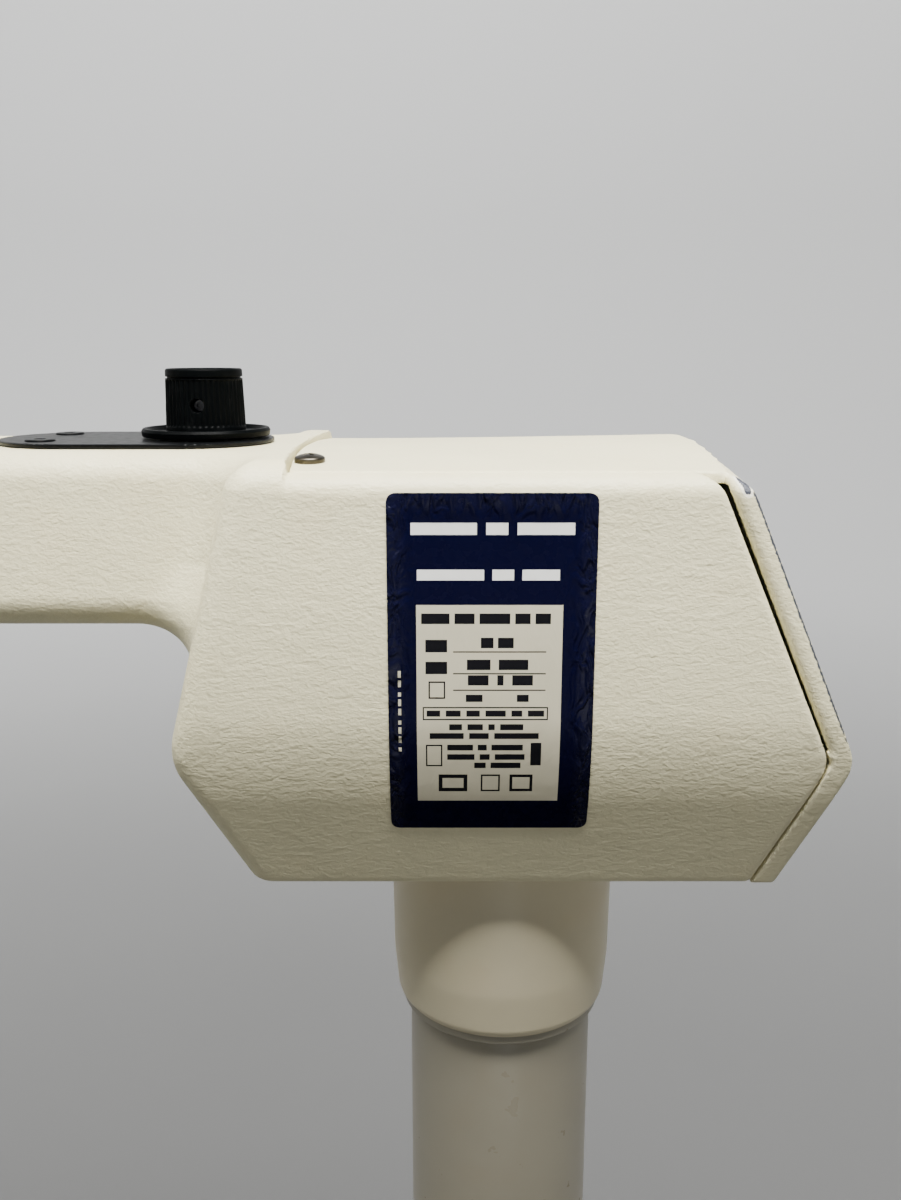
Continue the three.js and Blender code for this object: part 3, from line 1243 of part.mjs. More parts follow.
function handle(side) {
  const [root, end] = [HEAD_HALF_WIDTH + GAP, HEAD_HALF_WIDTH + HANDLE.reach];
  const between = (corners, from, to) => {
    return alongX(corners, Math.min(side * from, side * to), Math.max(side * from, side * to));
  };
  const stem = between(circle(-handleY(), HANDLE.rise, HANDLE.stem), root, end);
  const spigot = between(circle(-handleY(), HANDLE.rise, HANDLE.stem - 2), root - 6, root + 1);
  const grip = turned(
    [
      [0, -HANDLE.halfLength],
      [HANDLE.grip - 2, -HANDLE.halfLength, 2],
      [HANDLE.grip, -HANDLE.halfLength + 8],
      [HANDLE.grip - 1, 0],
      [HANDLE.grip, HANDLE.halfLength - 8],
      [HANDLE.grip - 2, HANDLE.halfLength, 2],
      [0, HANDLE.halfLength],
    ],
    16,
  ).translate([side * end, -handleY(), HANDLE.rise]);
  return union(stem, spigot, grip);
}

// ---- The assembly -------------------------------------------------------------------------------

function placed(parent, x, y, z, tiltX = 0, tiltY = 0) {
  const group = new THREE.Group();
  group.position.set(x, y, z);
  group.rotation.set(radians(tiltX), radians(tiltY), 0);
  parent.add(group);
  return group;
}

const light = new THREE.Group();
light.name = 'dental_operating_light';

const armFrame = placed(light, 0, 0, COVER_TOP);
buildPost(armFrame);
buildHub(armFrame);
buildHousing(armFrame);
buildCover(armFrame);
buildLabel(armFrame);
buildPowerSupply(armFrame);
buildControls(armFrame, placed(armFrame, KNOB.x, 0, 0));
buildRigidArm(armFrame);

const elbow = placed(armFrame, -ARM_REACH, 0, 0);
buildElbow(elbow);
buildFlexArm(placed(elbow, 0, 0, PIVOT_RISE, 0, FLEX_REST));
buildTieRod(placed(elbow, 0, 0, PIVOT_RISE - TIE_OFFSET, 0, FLEX_REST));

const wrist = placed(
  elbow,
  -FLEX_LENGTH * Math.cos(radians(FLEX_REST)),
  0,
  PIVOT_RISE + FLEX_LENGTH * Math.sin(radians(FLEX_REST)),
);
buildWrist(wrist);
const drop = placed(wrist, -WRIST_OFFSET, 0, -STEM_DROP);
buildDropStem(drop);
const head = placed(drop, 0, 0, 0, HEAD_TILT);
buildTiltHub(head);
buildHead(head);

export default light;
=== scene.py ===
"""The looks of the dental operating light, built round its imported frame.

Pieces are worked out in millimetres, in the swing arm's own frame: x and y from the post's axis,
and z from the edge of the rear cover's top. They are stored in metres, in the row frame.
"""

import json
import math

import bpy
import numpy as np
import openvdb
from mathutils import Matrix, Vector


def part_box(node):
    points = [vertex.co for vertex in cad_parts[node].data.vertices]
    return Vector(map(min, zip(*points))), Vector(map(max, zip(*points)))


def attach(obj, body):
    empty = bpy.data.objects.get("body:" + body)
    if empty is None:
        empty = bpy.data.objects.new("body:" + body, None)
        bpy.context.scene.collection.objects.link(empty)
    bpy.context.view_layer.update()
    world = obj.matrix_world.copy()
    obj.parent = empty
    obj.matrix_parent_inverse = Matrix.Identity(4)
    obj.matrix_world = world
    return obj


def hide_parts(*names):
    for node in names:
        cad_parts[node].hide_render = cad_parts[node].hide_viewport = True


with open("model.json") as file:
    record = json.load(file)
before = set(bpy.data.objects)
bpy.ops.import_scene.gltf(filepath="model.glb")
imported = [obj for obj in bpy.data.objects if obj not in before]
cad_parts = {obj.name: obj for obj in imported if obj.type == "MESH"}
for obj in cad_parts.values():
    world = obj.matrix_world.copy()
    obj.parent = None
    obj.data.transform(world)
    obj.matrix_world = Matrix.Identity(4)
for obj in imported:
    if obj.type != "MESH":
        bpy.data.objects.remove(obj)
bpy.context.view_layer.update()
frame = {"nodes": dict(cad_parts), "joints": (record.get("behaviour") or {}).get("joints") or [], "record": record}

MM = 0.001
POST_CLEAR = 92  # the post's top below the arm frame's z = 0, in millimetres
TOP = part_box("post_tube")[1].z + POST_CLEAR * MM
JOINTS = {joint["name"]: joint for joint in frame["joints"]}


def place(x=0.0, y=0.0, z=0.0, turn=None):
    """The matrix from millimetres about a point of the row frame, in metres, to the row frame."""
    matrix = Matrix.Translation((x, y, z)) @ Matrix.Scale(MM, 4)
    return matrix if turn is None else Matrix.Translation((x, y, z)) @ turn @ Matrix.Scale(MM, 4)


def at_joint(name, turn=None):
    return place(*JOINTS[name]["pos_m"], turn=turn)


ARM = place(0, 0, TOP)
PITCH = Matrix.Rotation(math.radians(10), 4, "Y")  # the flex arm's slope at rest
TILT = Matrix.Rotation(math.radians(35), 4, "X")  # the head's tilt at rest

# ---- Node helpers ------------------------------------------------------------


class Nodes:
    """A short way to write a material's nodes."""

    def __init__(self, name):
        self.material = bpy.data.materials.new(name)
        self.material.use_nodes = True
        self.tree = self.material.node_tree
        self.tree.nodes.clear()
        self.output = self.tree.nodes.new("ShaderNodeOutputMaterial")
        self.where = self.add("ShaderNodeTexCoord").outputs["Object"]

    def add(self, kind, settings=None, **inputs):
        node = self.tree.nodes.new(kind)
        for key, value in (settings or {}).items():
            setattr(node, key, value)
        for key, value in inputs.items():
            self.put(node.inputs[key.replace("_", " ")], value)
        return node

    def put(self, socket, value):
        if isinstance(value, bpy.types.NodeSocket):
            self.tree.links.new(value, socket)
        elif isinstance(value, (tuple, list)) and len(value) == 3 and socket.type == "RGBA":
            socket.default_value = (*value, 1.0)
        else:
            socket.default_value = value

    def math(self, operation, a, b=0.0, clamp=False):
        node = self.tree.nodes.new("ShaderNodeMath")
        node.operation = operation
        node.use_clamp = clamp
        self.put(node.inputs[0], a)
        self.put(node.inputs[1], b)
        return node.outputs[0]

    def ramp(self, value, low, high, out_low=0.0, out_high=1.0):
        return self.add("ShaderNodeMapRange", {"interpolation_type": "SMOOTHSTEP"}, Value=value,
                        From_Min=low, From_Max=high, To_Min=out_low, To_Max=out_high).outputs[0]

    def scaled(self, x, y, z):
        return self.add("ShaderNodeMapping", Vector=self.where, Scale=(x, y, z)).outputs[0]

    def noise(self, size, detail=2.0, rough=0.5, where=None, distortion=0.0):
        """Noise whose features are about size millimetres across."""
        return self.add("ShaderNodeTexNoise", Vector=where or self.where, Scale=1 / (size * MM),
                        Detail=detail, Roughness=rough, Distortion=distortion).outputs[0]

    def cells(self, size):
        return self.add("ShaderNodeTexVoronoi", {"feature": "F1"}, Vector=self.where,
                        Scale=1 / (size * MM)).outputs[0]

    def mix(self, factor, a, b):
        node = self.tree.nodes.new("ShaderNodeMix")
        node.data_type = "RGBA"
        self.put(node.inputs[0], factor)
        self.put(node.inputs[6], a)
        self.put(node.inputs[7], b)
        return node.outputs[2]

    def bump(self, height, depth, strength=1.0, after=None):
        """A bump whose height of 0 to 1 is depth millimetres deep."""
        node = self.add("ShaderNodeBump", Height=height, Distance=depth * MM, Strength=strength)
        if after is not None:
            self.tree.links.new(after, node.inputs["Normal"])
        return node.outputs[0]

    def attribute(self, name):
        return self.add("ShaderNodeAttribute", {"attribute_name": name}).outputs["Fac"]

    def principled(self, **inputs):
        shader = self.add("ShaderNodeBsdfPrincipled", **inputs)
        self.tree.links.new(shader.outputs[0], self.output.inputs[0])
        return self.material


def shade(colour, share):
    return tuple(c * share for c in colour)


# ---- Materials ---------------------------------------------------------------

BARE_METAL = (0.055, 0.06, 0.078)


def enamel(name, colour, rough, grain=0.0, wear=False, dust=0.5):
    """Stoved enamel. grain is the depth of its orange-peel texture in millimetres."""
    n = Nodes(name)
    clouds = n.noise(38, 3, 0.55)
    tint = n.mix(n.ramp(clouds, 0.35, 0.65), shade(colour, 0.97), shade(colour, 1.02))
    warm = n.mix(n.ramp(n.noise(17, 2), 0.5, 0.75, 0, 0.35), tint,
                 (colour[0], colour[1] * 0.955, colour[2] * 0.91))
    specks = n.ramp(n.cells(9), 0.02, 0.035, dust, 0)
    base = n.mix(specks, warm, shade(colour, 0.62))
    fine = n.noise(0.85, 2, 0.5, n.scaled(0.8, 0.8, 1.25), 0.4)
    coarse = n.noise(2.6, 2, 0.5, n.scaled(0.75, 0.75, 1.3), 0.6)
    normal = n.bump(n.noise(14, 1), 0.05 + 0.1 * grain)
    if grain:
        normal = n.bump(coarse, grain * 1.6, 0.8, normal)
        normal = n.bump(fine, grain, 1.0, normal)
    else:
        normal = n.bump(n.noise(1.6, 1), 0.012, 1.0, normal)
    roughness = n.math("ADD", n.math("MULTIPLY", n.noise(6, 3), 0.14), rough - 0.07)
    metallic = 0.0
    if wear:
        ragged = n.math("MULTIPLY", n.noise(0.9, 3, 0.7), 0.9)
        edge = n.math("ADD", n.attribute("edge"), ragged)
        chip = n.math("ADD", n.attribute("chip"), n.math("MULTIPLY", n.noise(0.7, 2, 0.6), 0.5))
        bare = n.math("MAXIMUM", n.ramp(edge, 1.2, 0.95), n.ramp(chip, 1.1, 0.95))
        halo = n.math("SUBTRACT", n.ramp(chip, 1.9, 1.1), bare, True)
        base = n.mix(n.math("MULTIPLY", halo, 0.6), base, (0.9, 0.9, 0.86))
        base = n.mix(bare, base, BARE_METAL)
        metallic = n.math("MULTIPLY", bare, 0.1)
        normal = n.bump(bare, -0.1, 1.0, normal)
    return n.principled(Base_Color=base, Roughness=roughness, Metallic=metallic, Normal=normal)


def plastic(name, colour, rough, grain=0.02, size=0.5, gloss=0.5, scuff=0.3):
    n = Nodes(name)
    worn = n.math("MULTIPLY", n.ramp(n.noise(3.5, 4, 0.65), 0.52, 0.72), scuff)
    base = n.mix(worn, colour, tuple(c * 1.6 + 0.02 for c in colour))
    roughness = n.math("ADD", n.math("MULTIPLY", n.noise(2.2, 3), 0.2), rough - 0.1)
    normal = n.bump(n.noise(size, 2, 0.6), grain)
    return n.principled(Base_Color=base, Roughness=roughness, Normal=normal, Specular_IOR_Level=gloss)


def metal(name, colour, rough, brushed=(1, 1, 1), depth=0.012, stain=0.25):
    n = Nodes(name)
    where = n.scaled(*brushed)
    lines = n.noise(0.35, 3, 0.6, where)
    blotch = n.ramp(n.noise(7, 4, 0.6), 0.45, 0.75, 0, stain)
    base = n.mix(blotch, n.mix(lines, shade(colour, 0.9), shade(colour, 1.06)), shade(colour, 0.6))
    roughness = n.math("ADD", n.math("MULTIPLY", lines, 0.16), rough - 0.08)
    normal = n.bump(lines, depth)
    return n.principled(Base_Color=base, Roughness=roughness, Metallic=1.0, Normal=normal)


def windings(name):
    n = Nodes(name)
    turns = n.add("ShaderNodeTexWave", {"bands_direction": "Z"}, Vector=n.where, Scale=320.0,
                  Distortion=0.6, Detail=1.0).outputs[1]
    base = n.mix(turns, (0.20, 0.07, 0.02), (0.52, 0.22, 0.08))
    return n.principled(Base_Color=base, Roughness=n.ramp(turns, 0, 1, 0.6, 0.35), Metallic=0.7,
                        Normal=n.bump(turns, 0.2))


def laminations(name):
    n = Nodes(name)
    sheets = n.add("ShaderNodeTexWave", {"bands_direction": "Y"}, Vector=n.where, Scale=450.0,
                   Distortion=0.3).outputs[1]
    base = n.mix(n.noise(5, 3), (0.072, 0.072, 0.08), (0.13, 0.11, 0.10))
    return n.principled(Base_Color=base, Roughness=n.ramp(sheets, 0, 1, 0.65, 0.45), Metallic=0.6,
                        Normal=n.bump(sheets, 0.1))


def label_ink(name, colour, rough):
    """Laminated vinyl print, with shallow wrinkles and scuffs in its clear film."""
    n = Nodes(name)
    wrinkle = n.ramp(n.noise(5.5, 2, 0.5, n.scaled(1.6, 1, 0.7), 1.2), 0.3, 0.7)
    near_edge = n.ramp(n.attribute("rim"), 7.0, 0.5, 0.06, 1.0)
    creases = n.math("MULTIPLY", wrinkle, near_edge)
    worn = n.ramp(n.noise(1.3, 5, 0.7), 0.6, 0.75, 0, 0.22)
    base = n.mix(n.math("MULTIPLY", worn, near_edge), colour, tuple(c + 0.02 for c in colour))
    base = n.mix(n.ramp(n.noise(11, 3), 0.4, 0.7, 0, 0.2), base, shade(colour, 0.8))
    roughness = n.ramp(n.noise(3, 3), 0, 1, rough - 0.06, rough + 0.12)
    gloss = n.ramp(near_edge, 0.3, 1.0, 0.04, 0.2)
    return n.principled(Base_Color=base, Roughness=roughness, Normal=n.bump(creases, 0.6),
                        Specular_IOR_Level=gloss)


def mirror(name):
    n = Nodes(name)
    haze = n.noise(6, 4, 0.6)
    base = n.mix(haze, (0.80, 0.85, 0.90), (0.92, 0.90, 0.84))
    return n.principled(Base_Color=base, Metallic=1.0, Roughness=n.ramp(haze, 0.3, 0.7, 0.06, 0.16),
                        Normal=n.bump(n.noise(9, 1), 0.03))


def clear(name, tint, rough):
    """Clear sheet or quartz: it passes light straight on and shines by its own gloss."""
    n = Nodes(name)
    smear = n.noise(14, 4, 0.6)
    normal = n.bump(n.noise(20, 1), 0.04)
    gloss = n.add("ShaderNodeBsdfAnisotropic", Color=(1.0, 1.0, 1.0),
                  Roughness=n.ramp(smear, 0.35, 0.7, rough, rough + 0.12), Normal=normal)
    through = n.add("ShaderNodeBsdfTransparent",
                    Color=n.mix(smear, tint, tuple(min(1, c * 1.03) for c in tint)))
    facing = n.add("ShaderNodeFresnel", IOR=1.5, Normal=normal)
    both = n.add("ShaderNodeMixShader")
    n.put(both.inputs[0], n.math("ADD", n.math("MULTIPLY", facing.outputs[0], 0.9), 0.03))
    n.tree.links.new(through.outputs[0], both.inputs[1])
    n.tree.links.new(gloss.outputs[0], both.inputs[2])
    n.tree.links.new(both.outputs[0], n.output.inputs[0])
    return n.material


CREAM = (0.79, 0.735, 0.485)
# Each material's maker, then its colour and the maker's other values in order.
RECIPES = {
    "textured_paint": (enamel, CREAM, 0.46, 0.15),
    "cover_paint": (enamel, CREAM, 0.46, 0.15, True),
    "smooth_paint": (enamel, (0.68, 0.61, 0.42), 0.36),
    "post_paint": (enamel, (0.33, 0.305, 0.235), 0.30, 0.0, False, 0.2),
    "matt_black": (plastic, (0.0014, 0.0018, 0.002), 0.4, 0.02, 0.5, 0.03, 0.1),
    "black_plastic": (plastic, (0.0022, 0.0026, 0.003), 0.36, 0.02, 0.5, 0.13, 0.12),
    "grey_plastic": (plastic, (0.17, 0.16, 0.13), 0.5),
    "steel": (metal, (0.58, 0.58, 0.56), 0.3),
    "screw_bronze": (metal, (0.09, 0.08, 0.062), 0.34, (1, 1, 1), 0.012, 0.6),
    "dark_steel": (metal, (0.14, 0.14, 0.15), 0.42),
    "aluminium": (metal, (0.62, 0.63, 0.64), 0.34, (0.06, 1, 1), 0.02, 0.1),
    "copper_winding": (windings,),
    "core_steel": (laminations,),
    "label_vinyl": (label_ink, (0.0022, 0.0024, 0.0155), 0.24),
    "label_cream": (label_ink, (0.60, 0.56, 0.42), 0.34),
    "label_ink": (label_ink, (0.008, 0.008, 0.010), 0.36),
    "label_white": (label_ink, (0.80, 0.80, 0.78), 0.34),
    "ceramic": (plastic, (0.74, 0.71, 0.63), 0.62, 0.05, 0.8, 0.5, 0.1),
    "mirror": (mirror,),
    "clear_shield": (clear, (0.93, 0.96, 0.96), 0.03),
}
MATERIALS = {name: make(name, *values) for name, (make, *values) in RECIPES.items()}

# ---- Mesh helpers ------------------------------------------------------------


def rmax(a, b, r):
    """Two fields' intersection, its edge rounded to radius r."""
    return np.minimum(np.maximum(a, b), -r) + np.hypot(np.maximum(a + r, 0), np.maximum(b + r, 0))


def rmin(a, b, r):
    """Two fields' union, its inner corner filled to radius r."""
    return -rmax(-a, -b, r)


def line(u, v, start, end):
    """Distance from the line from start to end, positive on its left."""
    du, dv = end[0] - start[0], end[1] - start[1]
    return ((v - start[1]) * du - (u - start[0]) * dv) / math.hypot(du, dv)


def box2(u, v, half_u, half_v, r=0.0):
    """A rectangle about the origin, with rounded corners."""
    du, dv = np.abs(u) - half_u + r, np.abs(v) - half_v + r
    return np.minimum(np.maximum(du, dv), 0) + np.hypot(np.maximum(du, 0), np.maximum(dv, 0)) - r


def linked(name, data):
    obj = bpy.data.objects.new(name, data)
    bpy.context.scene.collection.objects.link(obj)
    return obj


def placed(points, where):
    return np.asarray(points, float) @ np.array(where.to_3x3()).T + np.array(where.translation)


def crossed_diagonals(points, quads):
    """Each quad's normal, twice its area long."""
    corners = points[quads]
    return np.cross(corners[:, 2] - corners[:, 0], corners[:, 3] - corners[:, 1])


def dress(name, data, slot, body, nodes, smooth, material):
    """Shades a new mesh, gives it its material and sets it on its body."""
    data.validate()
    data.shade_smooth()
    data.set_sharp_from_angle(angle=math.radians(smooth))
    obj = linked(name, data)
    data.materials.append(MATERIALS[material or slot])
    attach(obj, body)
    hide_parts(*nodes)
    return obj


def mesh_object(name, points, faces, where, slot, body, nodes, material=None):
    """A mesh piece from quads between points in millimetres."""
    data = bpy.data.meshes.new(name)
    flat = np.asarray(faces, np.int32)
    data.vertices.add(len(points))
    data.vertices.foreach_set("co", placed(points, where).astype(np.float32).ravel())
    data.loops.add(flat.size)
    data.loops.foreach_set("vertex_index", flat.ravel())
    data.polygons.add(len(flat))
    data.polygons.foreach_set("loop_start", np.arange(0, flat.size, flat.shape[1], dtype=np.int32))
    data.update(calc_edges=True)
    return dress(name, data, slot, body, nodes, 35, material)


def gradient(field, points, step):
    columns = []
    for axis in range(3):
        shift = np.zeros(3)
        shift[axis] = step
        columns.append(field(*(points + shift).T) - field(*(points - shift).T))
    return np.stack(columns, 1) / (2 * step)


def solid(name, field, low, high, voxel, where, slot, body, nodes, attributes=None, material=None):
    """The surface where a field, in millimetres, is zero. The field is negative inside."""
    margin = 2.37 * voxel  # no whole number of voxels, so no face lies on the grid
    low, high = np.array(low, float) - margin, np.array(high, float) + margin
    x, y, z = (np.arange(a, b + voxel, voxel) for a, b in zip(low, high))
    grid_points = (x[:, None, None], y[None, :, None], z[None, None, :])
    values = field(*(g.astype(np.float32) for g in grid_points))
    band = 3 * voxel
    shape = (len(x), len(y), len(z))
    values = np.array(np.broadcast_to(np.clip(values, -band, band), shape), dtype=np.float32)
    grid = openvdb.FloatGrid(background=band)
    grid.copyFromArray(values)
    points, _, quads = grid.convertToPolygons(isovalue=0.0, adaptivity=0.0)
    points = low + points.astype(float) * voxel
    for _ in range(2):
        slope = gradient(field, points, voxel * 0.2)
        length = np.maximum((slope**2).sum(1), 0.2)
        move = np.clip(field(*points.T) / length, -0.7 * voxel, 0.7 * voxel)
        points = points - slope * move[:, None]
    if (points[quads].mean(1) * crossed_diagonals(points, quads)).sum() < 0:
        quads = quads[:, ::-1]
    obj = mesh_object(name, points, quads, where, slot, body, nodes, material=material)
    for key, values in (attributes or {}).items():
        layer = obj.data.attributes.new(key, "FLOAT", "POINT")
        layer.data.foreach_set("value", values(*points.T).astype(np.float32))
    return obj


def ring_mesh(name, rings, where, slot, body, nodes, loop=False, smooth=35, material=None):
    """A closed skin through rings of points: capped at both ends, or joined last to first."""
    rings = [np.asarray(ring, float) for ring in rings]
    count, levels = len(rings[0]), len(rings)
    points = np.concatenate(rings)
    around = np.arange(count)
    after = (around + 1) % count
    faces = []
    for level in range(levels if loop else levels - 1):
        a, b = level * count, ((level + 1) % levels) * count
        faces.append(np.stack([a + around, a + after, b + after, b + around], 1))
    if not loop:
        for level in (0, levels - 1):
            centre = len(points)
            points = np.vstack([points, rings[level].mean(0)])
            fan = np.stack([level * count + around, level * count + after,
                            np.full(count, centre), np.full(count, centre)], 1)
            faces.append(fan[:, [1, 0, 2, 3]] if level == 0 else fan)
    faces = np.concatenate(faces)
    corners, crossed = points[faces], crossed_diagonals(points, faces)
    triangle = faces[:, 2] == faces[:, 3]
    crossed[triangle] = np.cross(corners[triangle, 1] - corners[triangle, 0],
                                 corners[triangle, 2] - corners[triangle, 0])
    if (corners.mean(1) * crossed).sum() < 0:
        faces = faces[:, ::-1]
    data = bpy.data.meshes.new(name)
    lists = [list(dict.fromkeys(face)) for face in faces.tolist()]  # a repeated corner makes a triangle
    data.from_pydata(placed(points, where).tolist(), [], lists)
    return dress(name, data, slot, body, nodes, smooth, material)


def rounded_loop(straight_u, straight_v, radius, count):
    """Points round a rectangle's four corners, count of them on each."""
    points = []
    for quarter, (su, sv) in enumerate(((1, 1), (-1, 1), (-1, -1), (1, -1))):
        for step in range(count):
            angle = math.pi / 2 * (quarter + step / (count - 1))
            points.append((su * straight_u + radius * math.cos(angle),
                           sv * straight_v + radius * math.sin(angle)))
    return points


def fillet(profile, steps=6):
    """Rounds the corners of an outline. A corner is (u, v) or (u, v, radius)."""
    result = []
    for index, corner in enumerate(profile):
        point = np.array(corner[:2], float)
        if len(corner) < 3 or index in (0, len(profile) - 1) and profile[0][:2] != profile[-1][:2]:
            result.append(point)
            continue
        before = np.array(profile[index - 1][:2], float) - point
        after = np.array(profile[(index + 1) % len(profile)][:2], float) - point
        before, after = before / np.linalg.norm(before), after / np.linalg.norm(after)
        half = math.acos(np.clip(before @ after, -1, 1)) / 2
        middle = (before + after) / np.linalg.norm(before + after)
        centre = point + middle * corner[2] / math.sin(half)
        start = point + before * corner[2] / math.tan(half) - centre
        end = point + after * corner[2] / math.tan(half) - centre
        sweep = math.atan2(start[0] * end[1] - start[1] * end[0], start @ end)
        for step in range(steps + 1):
            angle = sweep * step / steps
            c, s = math.cos(angle), math.sin(angle)
            result.append(centre + np.array([start[0] * c - start[1] * s, start[0] * s + start[1] * c]))
    return result


def lathe(name, profile, where, slot, body, nodes, sides=128, material=None):
    """A profile of (radius, height) corners turned about z: closed if it keeps off the axis."""
    outline = fillet(profile)
    angle = 2 * math.pi * np.arange(sides) / sides
    c, s = np.cos(angle), np.sin(angle)
    rings = [np.stack([r * c, r * s, np.full(sides, h)], 1) for r, h in outline]
    on_axis = outline[0][0] < 1e-6
    if on_axis:
        rings = rings[1:-1]
    return ring_mesh(name, rings, where, slot, body, nodes, not on_axis, material=material)


# ---- The camera, the stage and the lights ------------------------------------

camera_data = bpy.data.cameras.new("camera")
camera_data.lens = 33
camera_data.sensor_width = 36
camera = linked("camera", camera_data)
camera.location = (-0.0142, -0.2831, TOP + 0.0255)
camera.rotation_euler = (math.radians(77.1), 0, 0)
bpy.context.scene.camera = camera

STAGE_CENTRE = (-0.55, 0.0)


def build_stage():
    """A pale floor that curves up into a round wall. Its colour darkens towards the object as painted shade."""
    radius, cove, height, sides = 3.2, 1.3, 5.5, 96
    profile = [(0.0, 0.0)] + [(radius * t, 0.0) for t in (0.25, 0.5, 0.75)]
    for step in range(17):
        angle = math.pi / 2 * step / 16
        profile.append((radius + cove * math.sin(angle), cove * (1 - math.cos(angle))))
    profile.append((radius + cove, height))
    vertices = [(STAGE_CENTRE[0], STAGE_CENTRE[1], 0.0)]
    for r, z in profile[1:]:
        for side in range(sides):
            angle = 2 * math.pi * side / sides
            x, y = r * math.cos(angle), r * math.sin(angle)
            vertices.append((STAGE_CENTRE[0] + x, STAGE_CENTRE[1] + y, z))
    faces = [(0, 1 + side, 1 + (side + 1) % sides) for side in range(sides)]
    for level in range(len(profile) - 2):
        for side in range(sides):
            a, b = 1 + level * sides + side, 1 + level * sides + (side + 1) % sides
            faces.append((a, a + sides, b + sides, b))
    data = bpy.data.meshes.new("stage")
    data.from_pydata(vertices, [], faces)
    data.validate()
    data.shade_smooth()
    n = Nodes("stage")
    clouds = n.noise(900, 2)
    away = n.add("ShaderNodeVectorMath", {"operation": "LENGTH"}, Vector=n.where).outputs["Value"]
    # Painted shade: the floor's colour darkens towards the object to stand in for less light there, with random
    # mottle from the clouds on top.
    painted_shade_and_mottle = n.math("ADD", n.ramp(away, 0.3, 3.9), n.math("MULTIPLY", clouds, 0.12))
    data.materials.append(
        n.principled(Base_Color=n.mix(painted_shade_and_mottle, (0.17, 0.17, 0.17), (0.60, 0.602, 0.598)),
                     Roughness=n.ramp(clouds, 0, 1, 0.75, 0.85), Normal=n.bump(n.noise(30, 2), 0.1))
    )
    linked("stage", data)


def lamp(name, location, target, size, power, colour=(1, 1, 1)):
    data = bpy.data.lights.new(name, "AREA")
    data.shape = "RECTANGLE"
    data.size, data.size_y = size
    data.energy = power
    data.color = colour
    obj = linked(name, data)
    obj.location = location
    obj.visible_camera = False
    obj.rotation_euler = (Vector(target) - Vector(location)).to_track_quat("-Z", "Y").to_euler()


build_stage()
lamp("key", (0.03, -0.28, TOP + 0.57), (0.0, 0.0, TOP - 0.02), (0.5, 0.3), 18.5, (1.0, 0.985, 0.95))
lamp("arm_key", (-0.85, -0.45, TOP + 1.0), (-0.8, -0.02, TOP), (0.9, 0.6), 9, (1.0, 0.99, 0.965))
lamp("fill", (0.1, -1.3, 0.22), (0.0, 0.0, 0.60), (0.5, 0.3), 1.0, (1.0, 0.99, 0.97))
# Six lamps wash the wall, the strongest of them behind the object.
for index, strength in enumerate((145, 60, 10, 3, 10, 60)):
    turn = 2 * math.pi * index / 6 + math.pi / 2
    toward = np.array((math.cos(turn), math.sin(turn)))
    spot = np.array(STAGE_CENTRE) + 1.5 * toward
    wall = np.array(STAGE_CENTRE) + 4.5 * toward
    lamp(f"wash_{index}", (*spot, 3.35), (*wall, 1.9), (2.0, 0.8), strength)


def build_flag():
    """A dark card in front, above the camera's view, that keeps the key off the post and the hub."""
    data = bpy.data.meshes.new("flag")
    x0, x1, y0, y1, z = -0.75, 0.35, -0.62, -0.138, TOP + 0.10
    data.from_pydata([(x0, y0, z), (x1, y0, z), (x1, y1, z), (x0, y1, z)], [], [(0, 1, 2, 3)])
    n = Nodes("flag")
    data.materials.append(n.principled(Base_Color=(0.03, 0.03, 0.03), Roughness=0.9))
    obj = linked("flag", data)
    obj.visible_camera = False
    obj.visible_glossy = False


build_flag()
world = bpy.data.worlds.new("world")
world.use_nodes = True
world.node_tree.nodes["Background"].inputs[0].default_value = (0.96, 0.98, 1.0, 1)
world.node_tree.nodes["Background"].inputs[1].default_value = 0.2
bpy.context.scene.world = world

# ---- The casting: housing and the root of the rigid arm ----------------------

HALF_Y, FLOOR_HALF_Y = 50, 37  # half widths at the side faces and at the floor
CREASE_Z, FLOOR_Z = -66.5, -102.0
WALL = 4.5
ARM_Z = -19.3  # middle of the arm's section
REACH = 520  # post axis to elbow axis


def step_x(y):
    """The casting's step in front of the cover, which bows forward in the middle."""
    return -49.6 - 2.4 * (1 - np.minimum(np.abs(y) / 45, 1) ** 2)


def side_planes(y, z):
    return np.abs(y) - HALF_Y, line(z, np.abs(y), (FLOOR_Z, FLOOR_HALF_Y), (CREASE_Z, HALF_Y))


def sides(y, z):
    """The side faces and the slopes under them."""
    return rmax(*side_planes(y, z), 4)


def tube_bore(y, z):
    """The socket that the arm's tube fits."""
    return box2(y, z - ARM_Z, 23.5, 16.8, 3.75)


def casting_rear(x, z):
    upper = line(x, z, (42.8, -0.5), (71.8, CREASE_Z))
    lower = -line(x, z, (58.6, FLOOR_Z), (71.8, CREASE_Z))
    return upper, lower


